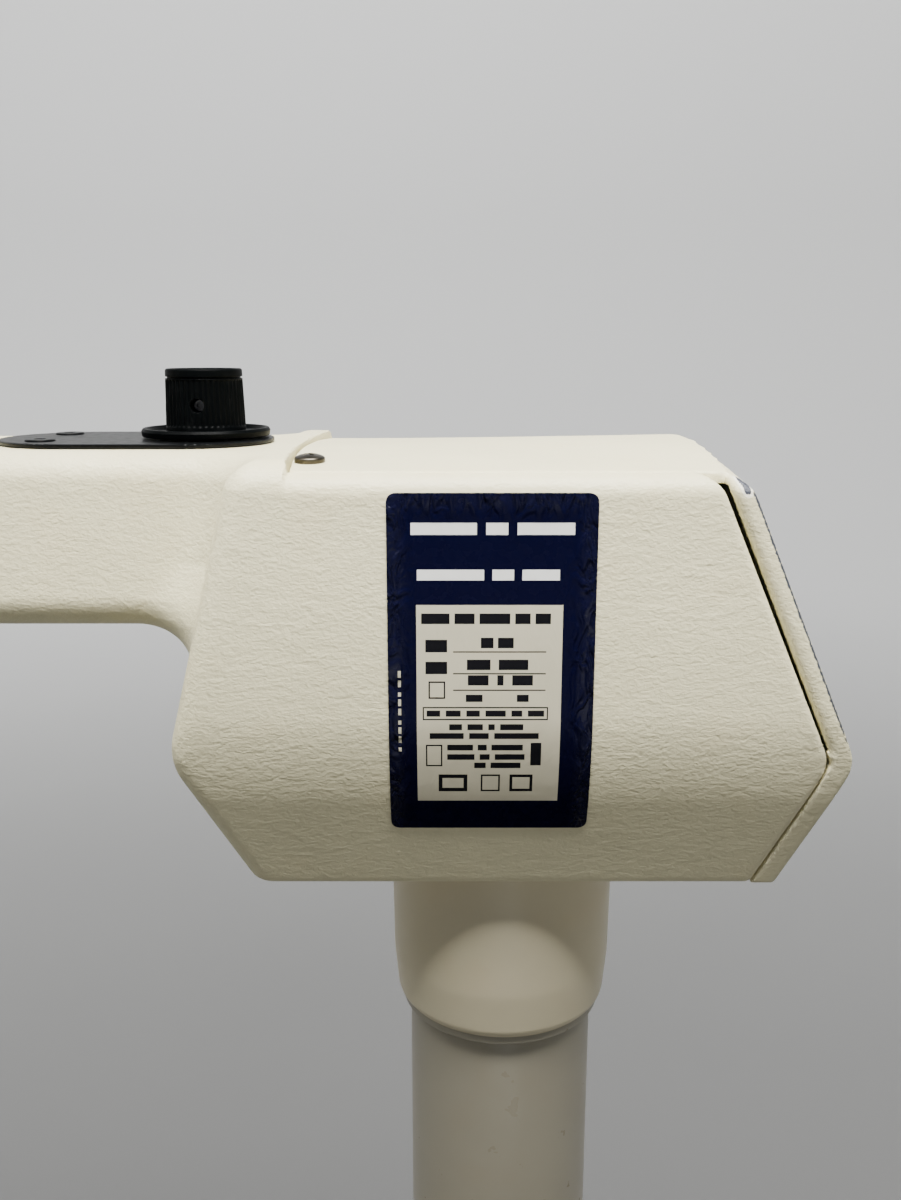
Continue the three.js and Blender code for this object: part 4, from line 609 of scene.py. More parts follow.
def casting(x, y, z):
    front_up = -line(x, z, (-62, 2), (-79, CREASE_Z))
    front_low = -line(x, z, (-79, CREASE_Z), (-62.5, FLOOR_Z))
    rear_up, rear_low = casting_rear(x, z)
    ends = rmax(front_up, front_low, 4)
    body = rmax(rmax(ends, sides(y, z), 5), FLOOR_Z - z, 2)
    body = rmax(body, rmax(rear_up, rear_low, 2.5), 1.1)
    arm = rmax(rmax(np.abs(y) - 28, -40.6 - z, 8.5), -210 - x, 1.0)
    arm = np.maximum(arm, x + 50)
    throat = 12 + 6 * np.clip((-24 - z) / 14, 0, 1)  # the fillet, larger under the arm than beside it
    front = rmax(rmin(body, arm, throat), z - 2, 7)
    front = rmax(front, x - step_x(y), 0.6)
    outer = np.minimum(front, rmax(body, z + 0.5, 5))

    inside = rmax(np.maximum(front_up, front_low), sides(y, z), 3) + WALL
    inside = rmax(inside, FLOOR_Z - z + WALL, 2)
    roofed = np.maximum(inside, z + 2.5)
    opened = rmax(inside, step_x(y) - x, 0.6)
    boss = np.maximum(np.abs(np.abs(y) - 36) - 10, np.abs(z + 9.6) - 6)
    boss = np.maximum(np.abs(x + 45.5) - 6, boss)
    bore = np.maximum(tube_bore(y, z), x + 60)
    hub = np.maximum(np.hypot(x, y) - 30.4, z + 90)
    hollow = np.minimum(np.maximum(np.minimum(roofed, opened), -boss), np.minimum(bore, hub))
    return rmax(outer, -hollow, 0.6)


solid("housing_casting", casting, (-210, -HALF_Y, FLOOR_Z), (74, HALF_Y, 2), 0.75, ARM, "textured_paint",
      "swing_arm", ["arm_housing"])

# ---- The rear cover ----------------------------------------------------------


def crown(x, y):
    apex = 1.1 + 2.2 * np.clip((x + 50) / 95, 0, 1)
    across = np.minimum(np.abs(y) / 45.2, 1.05)
    return -0.5 + (apex + 0.5) * (1 - across**2)


def cover_planes(x, y, z):
    upper = line(x, z, (48, 2.3), (77.6, CREASE_Z))
    lower = -line(x, z, (64.6, FLOOR_Z), (77.6, CREASE_Z))
    return upper, lower


def cover(x, y, z):
    upper, lower = cover_planes(x, y, z)
    rear = rmax(upper, lower, 2.5)
    walls = rmax(rmax(rear, sides(y, z), 0.8), FLOOR_Z - z, 1.2)
    top = z - crown(x, y)
    shape = rmax(walls, top, 5)
    rear_up, rear_low = casting_rear(x, z)
    gap = 1.35 - 0.5 * np.clip(-z / 62, 0, 1)
    taken = np.minimum(np.maximum(rear_up, rear_low) - 0.3, np.maximum(rear_up - gap, -63.5 - z))
    soft = 0.6 + 1.7 * np.clip((z + 68) / 6, 0, 1)
    band = rmax(shape, -taken, soft)
    hollow = np.maximum(np.maximum(np.maximum(upper, lower), sides(y, z)), FLOOR_Z - z) + 2.8
    band = np.maximum(band, -np.maximum(hollow, top + 2.8))
    plate = rmax(rmax(top, np.abs(y) - 45.15, 0.7), step_x(y) + 0.4 - x, 0.7)
    plate = np.maximum(np.maximum(plate, -(top + 2.8)), np.maximum(rear + 0.5, x - 46))
    return np.minimum(band, plate)


# The chipped corner's cracks, each from a point to a point, with its half width.
CHIP = [((47.5, -0.5), (48.4, -2.2), 0.5), ((48.4, -2.2), (49.2, -4.4), 0.25),
        ((48.4, -2.0), (50.2, -1.0), 0.6), ((50.2, -1.0), (51.4, -2.4), 0.9),
        ((51.4, -2.4), (52.8, -5.6), 0.5)]


def chip_distance(x, y, z):
    """How far a point is from the chipped corner's cracks, past their half widths."""
    nearest = np.full(np.shape(x), 99.0)
    for a, b, width in CHIP:
        u, v = b[0] - a[0], b[1] - a[1]
        along = np.clip(((x - a[0]) * u + (z - a[1]) * v) / (u * u + v * v), 0, 1)
        gap = np.hypot(x - a[0] - along * u, z - a[1] - along * v) - width
        nearest = np.minimum(nearest, gap + 0.35)
    return nearest + np.maximum(0, y + 46.5)


def edge_distance(x, y, z):
    """How far a point is from the cover's outer rear edges, where the paint wears through."""
    upper, lower = cover_planes(x, y, z)
    rear = np.abs(np.maximum(upper, lower))
    side = np.abs(np.maximum(*side_planes(y, z)))
    corner = 0.35 * np.clip(1 - np.abs(z - CREASE_Z) / 5, 0, 1)
    below = 0.5 * np.clip((CREASE_Z - 3 - z) / 3, 0, 1)
    return np.hypot(rear, side) - corner + below


solid("rear_cover_shell", cover, (-52, -HALF_Y, FLOOR_Z), (77.6, HALF_Y, 3.4), 0.65, ARM, "textured_paint",
      "swing_arm", ["rear_cover"], {"edge": edge_distance, "chip": chip_distance}, "cover_paint")

# ---- The post, the hub and its bushing ---------------------------------------

FOOT = -TOP / MM
lathe("post", [(22.4, FOOT), (25.4, FOOT, 0.8), (25.4, -POST_CLEAR, 0.5), (22.4, -POST_CLEAR)],
      ARM, "post_paint", "post", ["post_tube"], 160)
lathe("hub", [(27.8, -80), (30.4, -80), (30.4, -101), (29.9, -138, 30), (28.9, -148.5, 4),
              (27.95, -151.5, 0.5), (27.8, -150.5)],
      ARM, "smooth_paint", "swing_arm", ["swivel_hub"], 160)
lathe("hub_bushing", [(25.9, -152.8), (27.5, -152.8, 0.3), (27.5, -130.5), (25.9, -130.5)],
      ARM, "grey_plastic", "swing_arm", ["hub_bushing_lower"], material="post_paint")

# ---- Controls on the arm -----------------------------------------------------

KNOB_X = -76.4


def phillips(x, y, z):
    """A pan head with a cross recess. Its seat is at z = 0."""
    height, dome_radius = 1.7, 7.4
    r = np.hypot(x, y)
    dome = np.sqrt(np.maximum(dome_radius**2 - r**2, 0)) - (dome_radius - height)
    head = rmax(rmax(r - 3.5, z - dome, 0.35), -0.35 - z, 0.1)
    arms = np.minimum(box2(x, y, 1.9, 0.42, 0.1), box2(x, y, 0.42, 1.9, 0.1))
    slope = arms + (height - z) * 0.32
    recess = np.maximum(slope, height - 1.3 - z)
    return rmax(head, -recess, 0.12)


def control_plate(x, y, z):
    return rmax(box2(x + 93.9, y, 34.5, 20.6, 20.59), np.abs(z - 2.75) - 0.52, 0.25)


def build_controls():
    solid("control_plate_panel", control_plate, (-128.4, -20.6, 2.2), (-59.4, 20.6, 3.3), 0.42, ARM,
          "black_plastic", "swing_arm", ["control_plate"])
    screw = [(0, 2.4), (3.6, 2.4), (3.6, 3.72, 0.3), (1.5, 3.8), (1.3, 3.1), (0, 3.1)]
    for name, y in (("front", -11), ("back", 11)):
        lathe(f"plate_screw_{name}_head", screw, ARM @ Matrix.Translation((-115, y, 0)), "black_plastic",
              "swing_arm", [f"plate_screw_{name}"], 48)
    turn = Matrix.Rotation(math.radians(3), 4, "X") @ Matrix.Rotation(0.5, 4, "Z")
    where = ARM @ Matrix.Translation((-46.1, -33, 0.62)) @ turn
    solid("cover_screw_head", phillips, (-3.5, -3.5, -0.4), (3.5, 3.5, 1.8), 0.1, where, "steel",
          "swing_arm", ["cover_screw_front"], material="screw_bronze")


FLUTES = 44


def knob(x, y, z):
    """A knob with a fluted wall, a groove under its cap, a dished top and a screw hole."""
    r, angle = np.hypot(x, y), np.arctan2(y, x)
    wall = r - (10 - 0.5 * np.clip(z / 15.5, 0, 1))
    ridged = np.clip((z - 1.2) / 0.5, 0, 1) * np.clip((12.9 - z) / 0.4, 0, 1)
    flute = wall + 0.32 * ridged * np.abs(np.sin(FLUTES / 2 * angle)) ** 1.5
    groove = np.maximum(np.abs(z - 13.3) - 0.22, 9.1 - r)
    side = rmax(np.maximum(flute, -groove), -z, 0.4)
    cap = rmax(side, z - 15.5, 0.55)
    top = np.maximum(cap, -np.maximum(r - 8.2, 15.25 - z))
    hole = np.hypot(x, z - 6.6) - 1.7
    return rmax(top, -np.maximum(hole, y + 3), 0.15)


def grub_screw(x, y, z):
    """A set screw with a hexagon socket, along z."""
    spread = [np.abs(x * math.cos(a) + y * math.sin(a)) for a in (0, math.pi / 3, 2 * math.pi / 3)]
    socket = np.maximum(np.max(spread, axis=0) - 0.7, 0.2 - z)
    return np.maximum(rmax(np.hypot(x, y) - 1.5, np.abs(z) - 1.2, 0.2), -socket)


def build_knob():
    where = ARM @ Matrix.Translation((KNOB_X, 0, 5.05))
    solid("knob_body", knob, (-10, -10, 0), (10, 10, 15.5), 0.17, where, "black_plastic", "knob",
          ["intensity_knob"], material="matt_black")
    lathe("knob_dish", [(7.8, -1.3), (15.9, -1.3, 0.4), (16.1, 0.1), (15.7, 0.82, 0.35), (14.9, 0.8, 0.3),
                        (13.9, -0.25, 0.6), (7.8, -0.25)],
          where, "black_plastic", "knob", ["knob_skirt"], material="matt_black")
    screw = where @ Matrix.Translation((0, -5.2, 6.6)) @ Matrix.Rotation(math.pi / 2, 4, "X")
    solid("knob_grub_screw", grub_screw, (-1.5, -1.5, -1.2), (1.5, 1.5, 1.2), 0.06, screw, "dark_steel",
          "knob", ["knob_set_screw"])


build_controls()
build_knob()

# ---- The rating label --------------------------------------------------------

# Rectangles of print are (left, right, top, bottom, ink), on a grid of columns and rows over the label.
LABEL_LEFT, LABEL_RIGHT, LABEL_TOP, LABEL_BOTTOM = -28.0, 17.5, -4.5, -84.0
COLUMNS, ROWS = 209, 335
SPACE = 0.42  # between two words, where a short word is 1 wide


def words(left, right, top, bottom, widths, ink):
    """A line of print drawn as plain bars, one for each word."""
    unit = (right - left) / (sum(widths) + SPACE * (len(widths) - 1))
    bars, start = [], left
    for width in widths:
        bars.append((start, start + width * unit, top, bottom, ink))
        start += (width + SPACE) * unit
    return bars


def outline(left, right, top, bottom, ink, t=1.2):
    return [(left, right, top, top + t, ink), (left, right, bottom - t, bottom, ink),
            (left, left + t, top, bottom, ink), (right - t, right, top, bottom, ink)]


def label_print():
    """Bars and frames where a rating label has its lines of print. It has no lettering."""
    cream, dark, white = 1, 2, 3
    marks = words(24, 186, 27, 38, (3, 1, 2.6), white) + words(30, 172, 70, 80, (3.4, 1.1, 1.9), white)
    for index in range(9):
        marks.append((10, 13, 246 - 9.2 * index - (6.5 if index % 3 else 4), 246 - 9.2 * index, cream))
    marks.append((29, 176, 103, 301, cream))
    marks += words(34, 164, 111, 121, (2.4, 1.7, 2.6, 1.3, 1.3), dark)
    for row, (first, second) in enumerate((((38, 60), (94, 127)), ((38, 60), (80, 142)))):
        top = 136 + 21 * row
        marks += words(*first, top, top + 12, (1,), dark)
        marks += words(*second, top - 2, top + 8, (1.2, 1.5), dark)
        marks.append((66, 160, top + 11, top + 12.2, dark))
    marks += outline(41, 58, 176, 193, dark, 1.5) + words(81, 147, 170, 180, (1, 0.3, 1), dark)
    marks.append((66, 160, 184, 185.2, dark))
    marks += words(79, 96, 189, 196, (1,), dark) + words(131, 143, 189, 196, (1,), dark)
    marks += outline(35, 163, 201, 214, dark, 1.3)
    marks += words(39, 159, 204.5, 210.5, (1, 1.1, 1, 1.5, 0.8, 1.2), dark)
    marks += words(62, 138, 218, 224, (1, 1.2, 0.5, 1.8), dark)
    marks += words(42, 154, 227, 233, (2.6, 1.5, 3.4), dark)
    marks += words(60, 138, 239, 245, (2.3, 0.8, 2.8), dark)
    marks += words(60, 140, 249, 255, (2.2, 0.8, 2.4), dark)
    marks += words(88, 136, 258, 264, (1, 2.6), dark)
    marks += outline(38, 55, 239, 262, dark, 1.5) + [(146, 157, 237, 261, dark)]
    marks += outline(51, 81, 271, 290, dark, 4) + outline(95, 115, 271, 290, dark, 1.8)
    marks += outline(125, 149, 271, 290, dark, 3)
    return marks


def grid_lines(edges, count, step):
    """The edges of the print and of the label, with even lines between them."""
    edges = sorted({0.0, count, 1.0, count - 1.0} | set(edges))
    kept = [edges[0]] + [b for a, b in zip(edges, edges[1:]) if b - a > 1e-6]
    return np.unique(np.concatenate([kept, np.arange(0, count, step)]))


def build_label():
    marks = label_print()
    u = grid_lines([edge for mark in marks for edge in mark[:2]], COLUMNS, 4.0)
    v = grid_lines([edge for mark in marks for edge in mark[2:4]], ROWS, 2.5)
    x, z = np.meshgrid(LABEL_LEFT + (LABEL_RIGHT - LABEL_LEFT) * u / COLUMNS,
                       LABEL_TOP + (LABEL_BOTTOM - LABEL_TOP) * v / ROWS, indexing="ij")
    corner = 2.0
    middle_x = np.clip(x, LABEL_LEFT + corner, LABEL_RIGHT - corner)
    middle_z = np.clip(z, LABEL_BOTTOM + corner, LABEL_TOP - corner)
    past = np.hypot(x - middle_x, z - middle_z)
    in_corner = (x != middle_x) & (z != middle_z) & (past > corner)
    pull = np.where(in_corner, corner / np.maximum(past, 1e-6), 1)
    x, z = middle_x + (x - middle_x) * pull, middle_z + (z - middle_z) * pull
    low, high = np.full(x.shape, -55.0), np.full(x.shape, -30.0)
    for _ in range(24):
        y = (low + high) / 2
        outside = sides(y, z) > 0
        low, high = np.where(outside, y, low), np.where(outside, high, y)
    front = np.stack([x, y - 0.30, z], -1).reshape(-1, 3)
    back = np.stack([x, y - 0.06, z], -1).reshape(-1, 3)
    nu, nv = len(u), len(v)
    index = np.arange(nu * nv).reshape(nu, nv)
    cells = np.stack([index[:-1, :-1], index[:-1, 1:], index[1:, 1:], index[1:, :-1]], -1).reshape(-1, 4)
    border = np.concatenate([index[:-1, 0], index[-1, :-1], index[:0:-1, -1], index[0, :0:-1]])
    rim = np.stack([border, np.roll(border, -1), np.roll(border, -1) + nu * nv, border + nu * nv], 1)
    faces = np.concatenate([cells[:, ::-1], cells + nu * nv, rim])
    points = np.concatenate([front, back])
    if crossed_diagonals(points, faces)[: len(cells), 1].sum() > 0:
        faces = faces[:, ::-1]
    obj = mesh_object("rating_label_print", points, faces, ARM, "label_vinyl", "swing_arm",
                      ["rating_label"])
    for name in ("label_cream", "label_ink", "label_white"):
        obj.data.materials.append(MATERIALS[name])
    centre_u, centre_v = (u[:-1] + u[1:]) / 2, (v[:-1] + v[1:]) / 2
    ink = np.zeros((nu - 1, nv - 1), np.int32)
    for left, right, top, bottom, colour in marks:
        across, down = (centre_u > left) & (centre_u < right), (centre_v > top) & (centre_v < bottom)
        ink[np.ix_(across, down)] = colour
    kinds = np.zeros(len(faces), np.int32)
    kinds[: len(cells)] = ink.ravel()
    obj.data.polygons.foreach_set("material_index", kinds)
    distance = np.minimum(np.minimum(x - LABEL_LEFT, LABEL_RIGHT - x), LABEL_TOP - z)
    layer = obj.data.attributes.new("rim", "FLOAT", "POINT")
    layer.data.foreach_set("value", np.tile(distance.ravel(), 2).astype(np.float32))


build_label()

# ---- The straight arm and the elbow ------------------------------------------

END_X = -REACH + 62


def rounded_tube(name, half_u, half_v, r, wall, start, end, where, slot, body, nodes):
    """A rounded rectangular tube along x, its ends slightly eased."""

    def ring(x, grow):
        radius = max(r + grow, 0.3)
        loop = rounded_loop(half_u + grow - radius, half_v + grow - radius, radius, 9)
        return [(x, u, v) for u, v in loop]

    ease = 0.4
    rings = [ring(start, -wall), ring(start, -ease), ring(start + ease, 0)]
    rings += [ring(start + ease + (end - start - 2 * ease) * t, 0) for t in np.linspace(0, 1, 9)[1:-1]]
    rings += [ring(end - ease, 0), ring(end, -ease), ring(end, -wall)]
    ring_mesh(name, rings, where, slot, body, nodes, loop=True)


def elbow_socket(x, y, z):
    arm = rmax(box2(y, z - ARM_Z, 28, 21.3, 6), x - END_X, 1.2)
    arm = np.maximum(arm, -REACH - x)
    r = np.hypot(x + REACH, y)
    barrel = rmax(r - 32, np.abs(z - ARM_Z) - 25.3, 3)
    outer = rmin(arm, barrel, 7)
    bore = np.minimum(r - 19.9, np.maximum(tube_bore(y, z), END_X - 30 - x))
    return rmax(outer, -bore, 0.8)


rounded_tube("rigid_arm_extrusion", 23.2, 16.5, 3.45, 3, END_X - 29.7, -150,
             ARM @ Matrix.Translation((0, 0, ARM_Z)), "aluminium", "swing_arm", ["rigid_arm_tube"])
solid("elbow_casting", elbow_socket, (-552, -32, -44.6), (END_X, 32, 6), 0.9, ARM, "textured_paint",
      "swing_arm", ["elbow_socket"])
ELBOW = ARM @ Matrix.Translation((-REACH, 0, 0))
lathe("elbow_flange",
      [(16.5, -44.6), (19.5, -44.6), (19.5, 6.3), (29, 6.3, 0.5), (29, 8.3, 0.5), (16.5, 8.3)],
      ELBOW, "grey_plastic", "swing_arm", ["elbow_bushing"], 96)


def wedge(x, z, side):
    """The slot that the tie rod sweeps, seen from the side, about the tie rod's pivot."""
    highest, lowest = (50, -15) if side < 0 else (15, -50)

    def above(degrees):
        angle = math.radians(degrees)
        return z * math.cos(angle) - x * side * math.sin(angle)

    return np.maximum(np.maximum(above(highest), -above(lowest)) - 5.5, -side * x)


TIE_DROP = 34  # the tie rod's pivots below the flex arm's


def fork_block(bottom, side, base):
    """A tongue with the flex arm's pivot at the origin and the tie rod's slot below it."""

    def field(x, y, z):
        plate = np.maximum(np.maximum(np.abs(x) - 17, z), bottom - z)
        eye = np.hypot(x, z) - 17
        tongue = rmax(np.minimum(plate, eye), np.abs(y) - 14, 2)
        tongue = rmin(tongue, base(x, y, z), 6)
        tie = np.hypot(x, z + TIE_DROP)
        slot = np.minimum(wedge(x, z + TIE_DROP, side), tie - 10.5)
        slot = np.maximum(slot, np.abs(y) - 5.6)
        holes = np.minimum(np.hypot(x, z) - 6.3, tie - 4.3)
        return rmax(tongue, -np.minimum(slot, holes), 0.8)

    return field


def elbow_base(x, y, z):
    r = np.hypot(x, y)
    disc = rmax(r - 30, np.abs(z + 62.75) - 6.5, 2.5)
    return np.maximum(disc, -np.maximum(r - 16.4, z + 57.5))


ELBOW_PIVOT = at_joint("flex_pitch")
solid("elbow_tongue", fork_block(-60, -1, elbow_base), (-30, -30, -69.3), (30, 30, 17), 0.7,
      ELBOW_PIVOT, "smooth_paint", "elbow", ["elbow_block"])

# ---- The balanced flex arm ---------------------------------------------------

FLEX = at_joint("flex_pitch", PITCH)
FLEX_LENGTH = 520


def pin_piece(name, radius, half, where, body, nodes, axis="X"):
    """A pin with rounded ends, narrowed slightly towards each."""
    turn = Matrix.Rotation(math.pi / 2, 4, axis)
    profile = [(0, -half), (radius - 0.2, -half, 1.2), (radius, -half + 1.5), (radius, half - 1.5),
               (radius - 0.2, half, 1.2), (0, half)]
    lathe(name, profile, where @ turn, "steel", body, nodes, 64)


def flex_beam(x, y, z):
    half_height, end = 12, -FLEX_LENGTH
    outside = np.maximum(np.abs(z) - half_height, np.maximum(end - x, x))
    ears = np.minimum(np.hypot(x, z), np.hypot(x - end, z)) - half_height
    body = rmax(np.minimum(outside, ears), np.abs(y) - 17, 1.5)
    bore = rmax(np.abs(y) - 14.5, np.abs(z) - 9.5, 1.5)
    mouths = np.maximum(np.minimum(-24 - x, x - (end + 42)), np.abs(y) - 14.45)
    holes = np.minimum(np.hypot(x, z), np.hypot(x - end, z)) - 6.45
    return rmax(body, -np.minimum(np.minimum(bore, mouths), holes), 0.5)


def flex_shell(closed, opened):
    """Half of the flex arm's clamshell, between the heights of its closed and its open side."""
    up = 1 if opened > closed else -1

    def field(x, y, z):
        shell = rmax(rmax(np.abs(y) - 21, up * (closed - z), 7), up * (z - opened), 0.8)
        shell = rmax(shell, np.abs(x + 256) - 212, 2.2)
        hollow = rmax(np.abs(y) - 18.5, up * (closed - z) + 2.5, 4.5)
        return rmax(shell, -hollow, 0.6)

    return field


solid("flex_beam_extrusion", flex_beam, (-532, -17, -12), (12, 17, 12), 0.85, FLEX, "aluminium",
      "flex_arm", ["flex_arm_tube"])
solid("flex_shell_upper", flex_shell(16.5, -12.7), (-468, -21, -12.7), (-44, 21, 16.5), 0.95, FLEX,
      "textured_paint", "flex_arm", ["flex_cover_upper"])
solid("flex_shell_lower", flex_shell(-43, -13), (-468, -21, -43), (-44, 21, -13), 0.95, FLEX,
      "textured_paint", "flex_arm", ["flex_cover_lower"])
pin_piece("elbow_pivot", 6, 17, ELBOW_PIVOT, "elbow", ["elbow_pivot_pin"])
pin_piece("elbow_tie_pivot", 4, 14, at_joint("tie_rod_pitch"), "elbow", ["elbow_tie_pin"])


def spring_coil():
    """A close-wound steel spring round the line between the two ends."""
    turns, radius, wire, start, length = 46, 7.0, 1.5, -370.0, 220.0
    steps = turns * 20
    t = np.linspace(0, 1, steps + 1)
    angle = 2 * math.pi * turns * t
    out = np.stack([0 * t, np.cos(angle), np.sin(angle)], 1)
    centre = radius * out
    centre[:, 0] = start + wire + (length - 2 * wire) * t
    rings = []
    for k in range(10):
        a = 2 * math.pi * k / 10
        rings.append(centre + out * wire * math.cos(a) + np.array([wire * math.sin(a), 0, 0]))
    rings = np.stack(rings, 1)
    ring_mesh("balance_coil", list(rings), FLEX, "dark_steel", "flex_arm", ["balance_spring"])


spring_coil()


def tie_rod(x, y, z):
    bar = np.maximum(np.hypot(y, z) - 4, np.abs(x + FLEX_LENGTH / 2) - 256)
    ends = np.minimum(np.hypot(x, z), np.hypot(x + FLEX_LENGTH, z))
    eyes = rmax(ends - 9, np.abs(y) - 5, 1)
    return rmax(rmin(bar, eyes, 3), 4.4 - ends, 0.5)


solid("tie_rod_link", tie_rod, (-529, -5, -9), (9, 5, 9), 0.5, at_joint("tie_rod_pitch", PITCH),
      "steel", "tie_rod", ["tie_rod"])

# ---- The wrist, the drop stem and the tilt joint -----------------------------

WRIST = at_joint("wrist_level")


def wrist_base(x, y, z):
    barrel = rmax(np.hypot(x + 38, y) - 19, np.abs(z + 22) - 36, 2.5)
    web = np.maximum(np.maximum(np.abs(x + 26) - 12, np.abs(y) - 14), np.abs(z + 29) - 29)
    return np.maximum(rmin(barrel, web, 5), 12.45 - np.hypot(x + 38, y))


solid("wrist_casting", fork_block(-58, 1, wrist_base), (-57, -19, -58), (17, 19, 17), 0.7, WRIST,
      "smooth_paint", "wrist", ["wrist_block"])
pin_piece("wrist_pivot", 6, 17, WRIST, "wrist", ["wrist_pivot_pin"])
pin_piece("wrist_tie_pivot", 4, 14, WRIST @ Matrix.Translation((0, 0, -TIE_DROP)), "wrist",
          ["wrist_tie_pin"])

DROP = at_joint("head_tilt")
lathe("drop_tube",
      [(9, 30.3), (12, 30.3, 0.5), (12, 182.45, 0.6), (17, 182.45, 0.5), (17, 185.45, 1), (9, 185.45, 0.6)],
      DROP, "smooth_paint", "drop_arm", ["drop_stem"], 96)


def tilt_fork(x, y, z):
    arch = rmax(rmax(np.abs(x) - 27, z - 30, 8), -z, 0.01)
    ears = np.maximum(np.hypot(y, z) - 15, np.abs(x) - 27)
    block = rmax(np.minimum(np.maximum(arch, np.abs(y) - 15), ears), np.abs(x) - 27, 1.2)
    r = np.hypot(x, y)
    collar = rmax(r - 16, np.abs(z - 40.5) - 13.5, 1.2)
    body = rmin(rmax(block, np.abs(y) - 15, 1.2), collar, 4)
    throat = rmax(np.abs(x) - 20, z - 20, 5)
    seat = np.maximum(r - 12.3, 30 - z)
    hole = np.minimum(np.hypot(y, z) - 6.3, r - 9)
    return rmax(body, -np.minimum(throat, np.minimum(seat, hole)), 0.8)


solid("tilt_yoke", tilt_fork, (-27, -16, -15), (27, 16, 54), 0.7, DROP, "smooth_paint", "drop_arm",
      ["tilt_fork"])
pin_piece("tilt_pivot", 6, 28, DROP @ Matrix.Rotation(math.pi / 2, 4, "Z"), "drop_arm", ["tilt_pin"])

HEAD = at_joint("head_tilt", TILT)


def tilt_hub(x, y, z):
    body = rmax(np.hypot(y, z) - 14, np.abs(x) - 19.5, 1.5)
    r = np.hypot(x, z)
    shoulder = rmax(r - 16, np.abs(y + 17) - 9, 1.5)
    spindle = rmax(r - 9, np.abs(y + 24.5) - 20.5, 1)
    holes = np.minimum(np.hypot(y, z) - 6.45, np.maximum(r - 5, y + 6))
    return rmax(rmin(rmin(body, shoulder, 3), spindle, 1), -holes, 0.6)


solid("tilt_knuckle", tilt_hub, (-20, -45, -16), (20, 14, 16), 0.55, HEAD, "smooth_paint", "tilt_block",
      ["tilt_hub"])

# ---- The lamp head: its beam leaves along -Y of this frame -------------------


def frame_ring(half_x, half_z, corner, distance):
    """A rounded rectangle, or a circle if the corner is as large as both halves."""
    corner = min(corner, half_x, half_z)
    loop = rounded_loop(half_x - corner, half_z - corner, corner, 32)
    return [(u, -distance, v) for u, v in loop]


def smooth_rows(rows):
    """Three extra rows between each pair of the given ones, on a Catmull-Rom curve."""
    steps = 4
    rows = [np.array(row, float) for row in rows]
    result = []
    for i in range(len(rows) - 1):
        a, b, c, d = rows[max(i - 1, 0)], rows[i], rows[i + 1], rows[min(i + 2, len(rows) - 1)]
        for step in range(steps):
            t = step / steps
            result.append(0.5 * (2 * b + (c - a) * t + (2 * a - 5 * b + 4 * c - d) * t**2
                                 + (3 * b - a - 3 * c + d) * t**3))
    return result + [rows[-1]]


HEAD_X, HEAD_Z, HEAD_CORNER = 130, 76, 40


def round_rows(pairs):
    return [(r, r, r, distance) for r, distance in pairs]


def inset_rows(pairs):
    return [(HEAD_X - inset, HEAD_Z - inset, HEAD_CORNER - inset, distance) for inset, distance in pairs]


def ring_piece(name, rows, slot, node, loop=False, smooth=35):
    ring_mesh(name, [frame_ring(*row) for row in rows], HEAD, slot, "head", [node], loop, smooth)


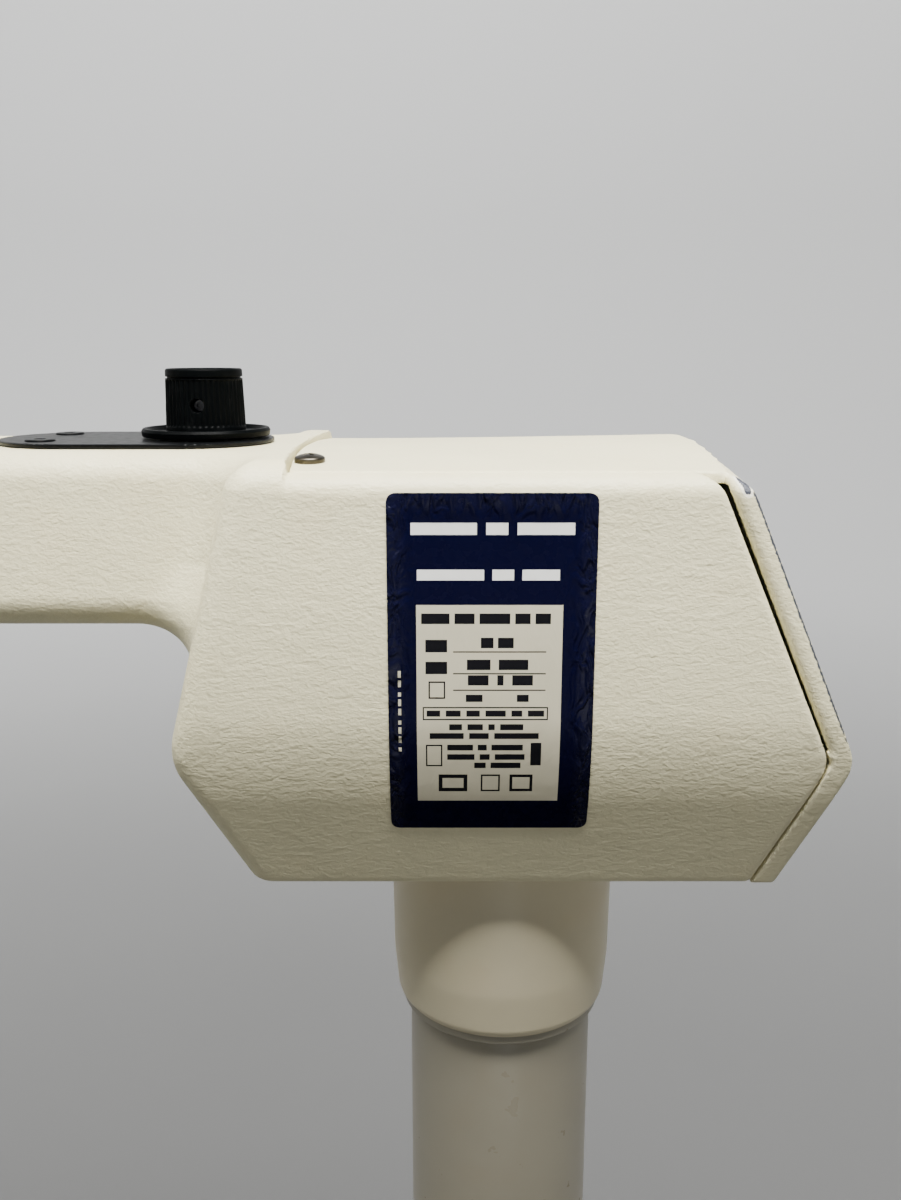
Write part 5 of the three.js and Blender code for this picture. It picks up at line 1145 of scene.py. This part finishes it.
def build_head():
    body = [(0.42, 0.42, 0.3, 34), (0.60, 0.585, 0.38, 36.8), (0.76, 0.745, 0.44, 44),
            (0.88, 0.87, 0.5, 55), (0.955, 0.95, 0.52, 69), (0.99, 0.99, 0.526, 86),
            (1, 1, 0.526, 104), (1, 1, 0.526, 124)]
    outside = [(HEAD_X * a, HEAD_Z * b, HEAD_Z * c, d) for a, b, c, d in body]
    inside = [(a - 3, b - 3, c - 2.5, d + (3 if d < 60 else 0)) for a, b, c, d in outside]
    boss = round_rows([(9.45, 26.8), (9.9, 26.2), (17.2, 26.2), (18, 27), (18, 32.6), (19.2, 33.8),
                       (22, 34)])
    rim = inset_rows([(0, 123.6), (0.4, 124)]) + [(HEAD_X - 3, HEAD_Z - 3, 37.5, 124)]
    rows = boss + smooth_rows(outside)[:-1] + rim + smooth_rows(inside[::-1])[1:]
    rows += round_rows([(24, 37), (18, 38), (17.4, 41.6), (9.9, 41.6), (9.45, 41)])
    ring_piece("head_housing", rows, "smooth_paint", "head_shell", True)

    lip = [(8, 131), (8, 124.8), (7.5, 124.3), (0, 124.3), (0, 128.5), (0.6, 130.2), (2, 131.1), (4, 131.3),
           (6.5, 131.3), (7.6, 131.1)]
    ring_piece("head_bezel", inset_rows(lip), "grey_plastic", "front_bezel", True)
    pane = [(5.4, 121), (5, 121.4), (5, 123.6), (5.4, 124)]
    ring_piece("head_shield", inset_rows(pane), "clear_shield", "lens_shield")

    def bowl(grow):
        rows = []
        for level in np.linspace(0.01, 1, 22):
            spread = math.sqrt(level)
            ripple = 1 + 0.012 * math.sin(level * 60)
            w, h = (17 + (full - 17) * spread * ripple + grow for full in (118, 64))
            rows.append((w, h, min(h, 16 + 23 * spread + grow), 61 + 58 * level))
        return rows

    rows = round_rows([(14, 61.5)]) + bowl(0) + bowl(-1.6)[::-1] + round_rows([(14, 62.6)])
    ring_piece("head_mirror", rows, "mirror", "reflector", True, 12)


def grip(side):
    """A ribbed handle on one side of the head, on a short stem."""

    def field(x, y, z):
        u = side * x
        stem = np.maximum(rmax(np.hypot(y + 95, z - 8) - 6.5, 130.5 - u, 1.5), u - 156)
        along = np.clip(np.abs(z - 8) / 40, 0, 1)
        ribs = 0.35 * np.abs(np.sin((z - 8) * math.pi / 5)) ** 0.7 * (np.abs(z - 8) < 36)
        r = np.hypot(x - side * 156, y + 95)
        bar = rmax(r - 9 - along**2 + ribs, np.abs(z - 8) - 48, 4.5)
        return rmin(stem, bar, 4)

    return field


build_head()
for name, side in (("left", -1), ("right", 1)):
    ends = sorted((side * 130, side * 166))
    solid(f"{name}_grip", grip(side), (ends[0], -105, -40), (ends[1], -85, 56), 0.6, HEAD, "black_plastic",
          "head", [f"{name}_handle"])

# ---- Finish ------------------------------------------------------------------

for node in frame["record"]["subparts"]:
    obj = frame["nodes"][node["node"]]
    obj.data.materials.clear()
    obj.data.materials.append(MATERIALS[node["material_slot"]])
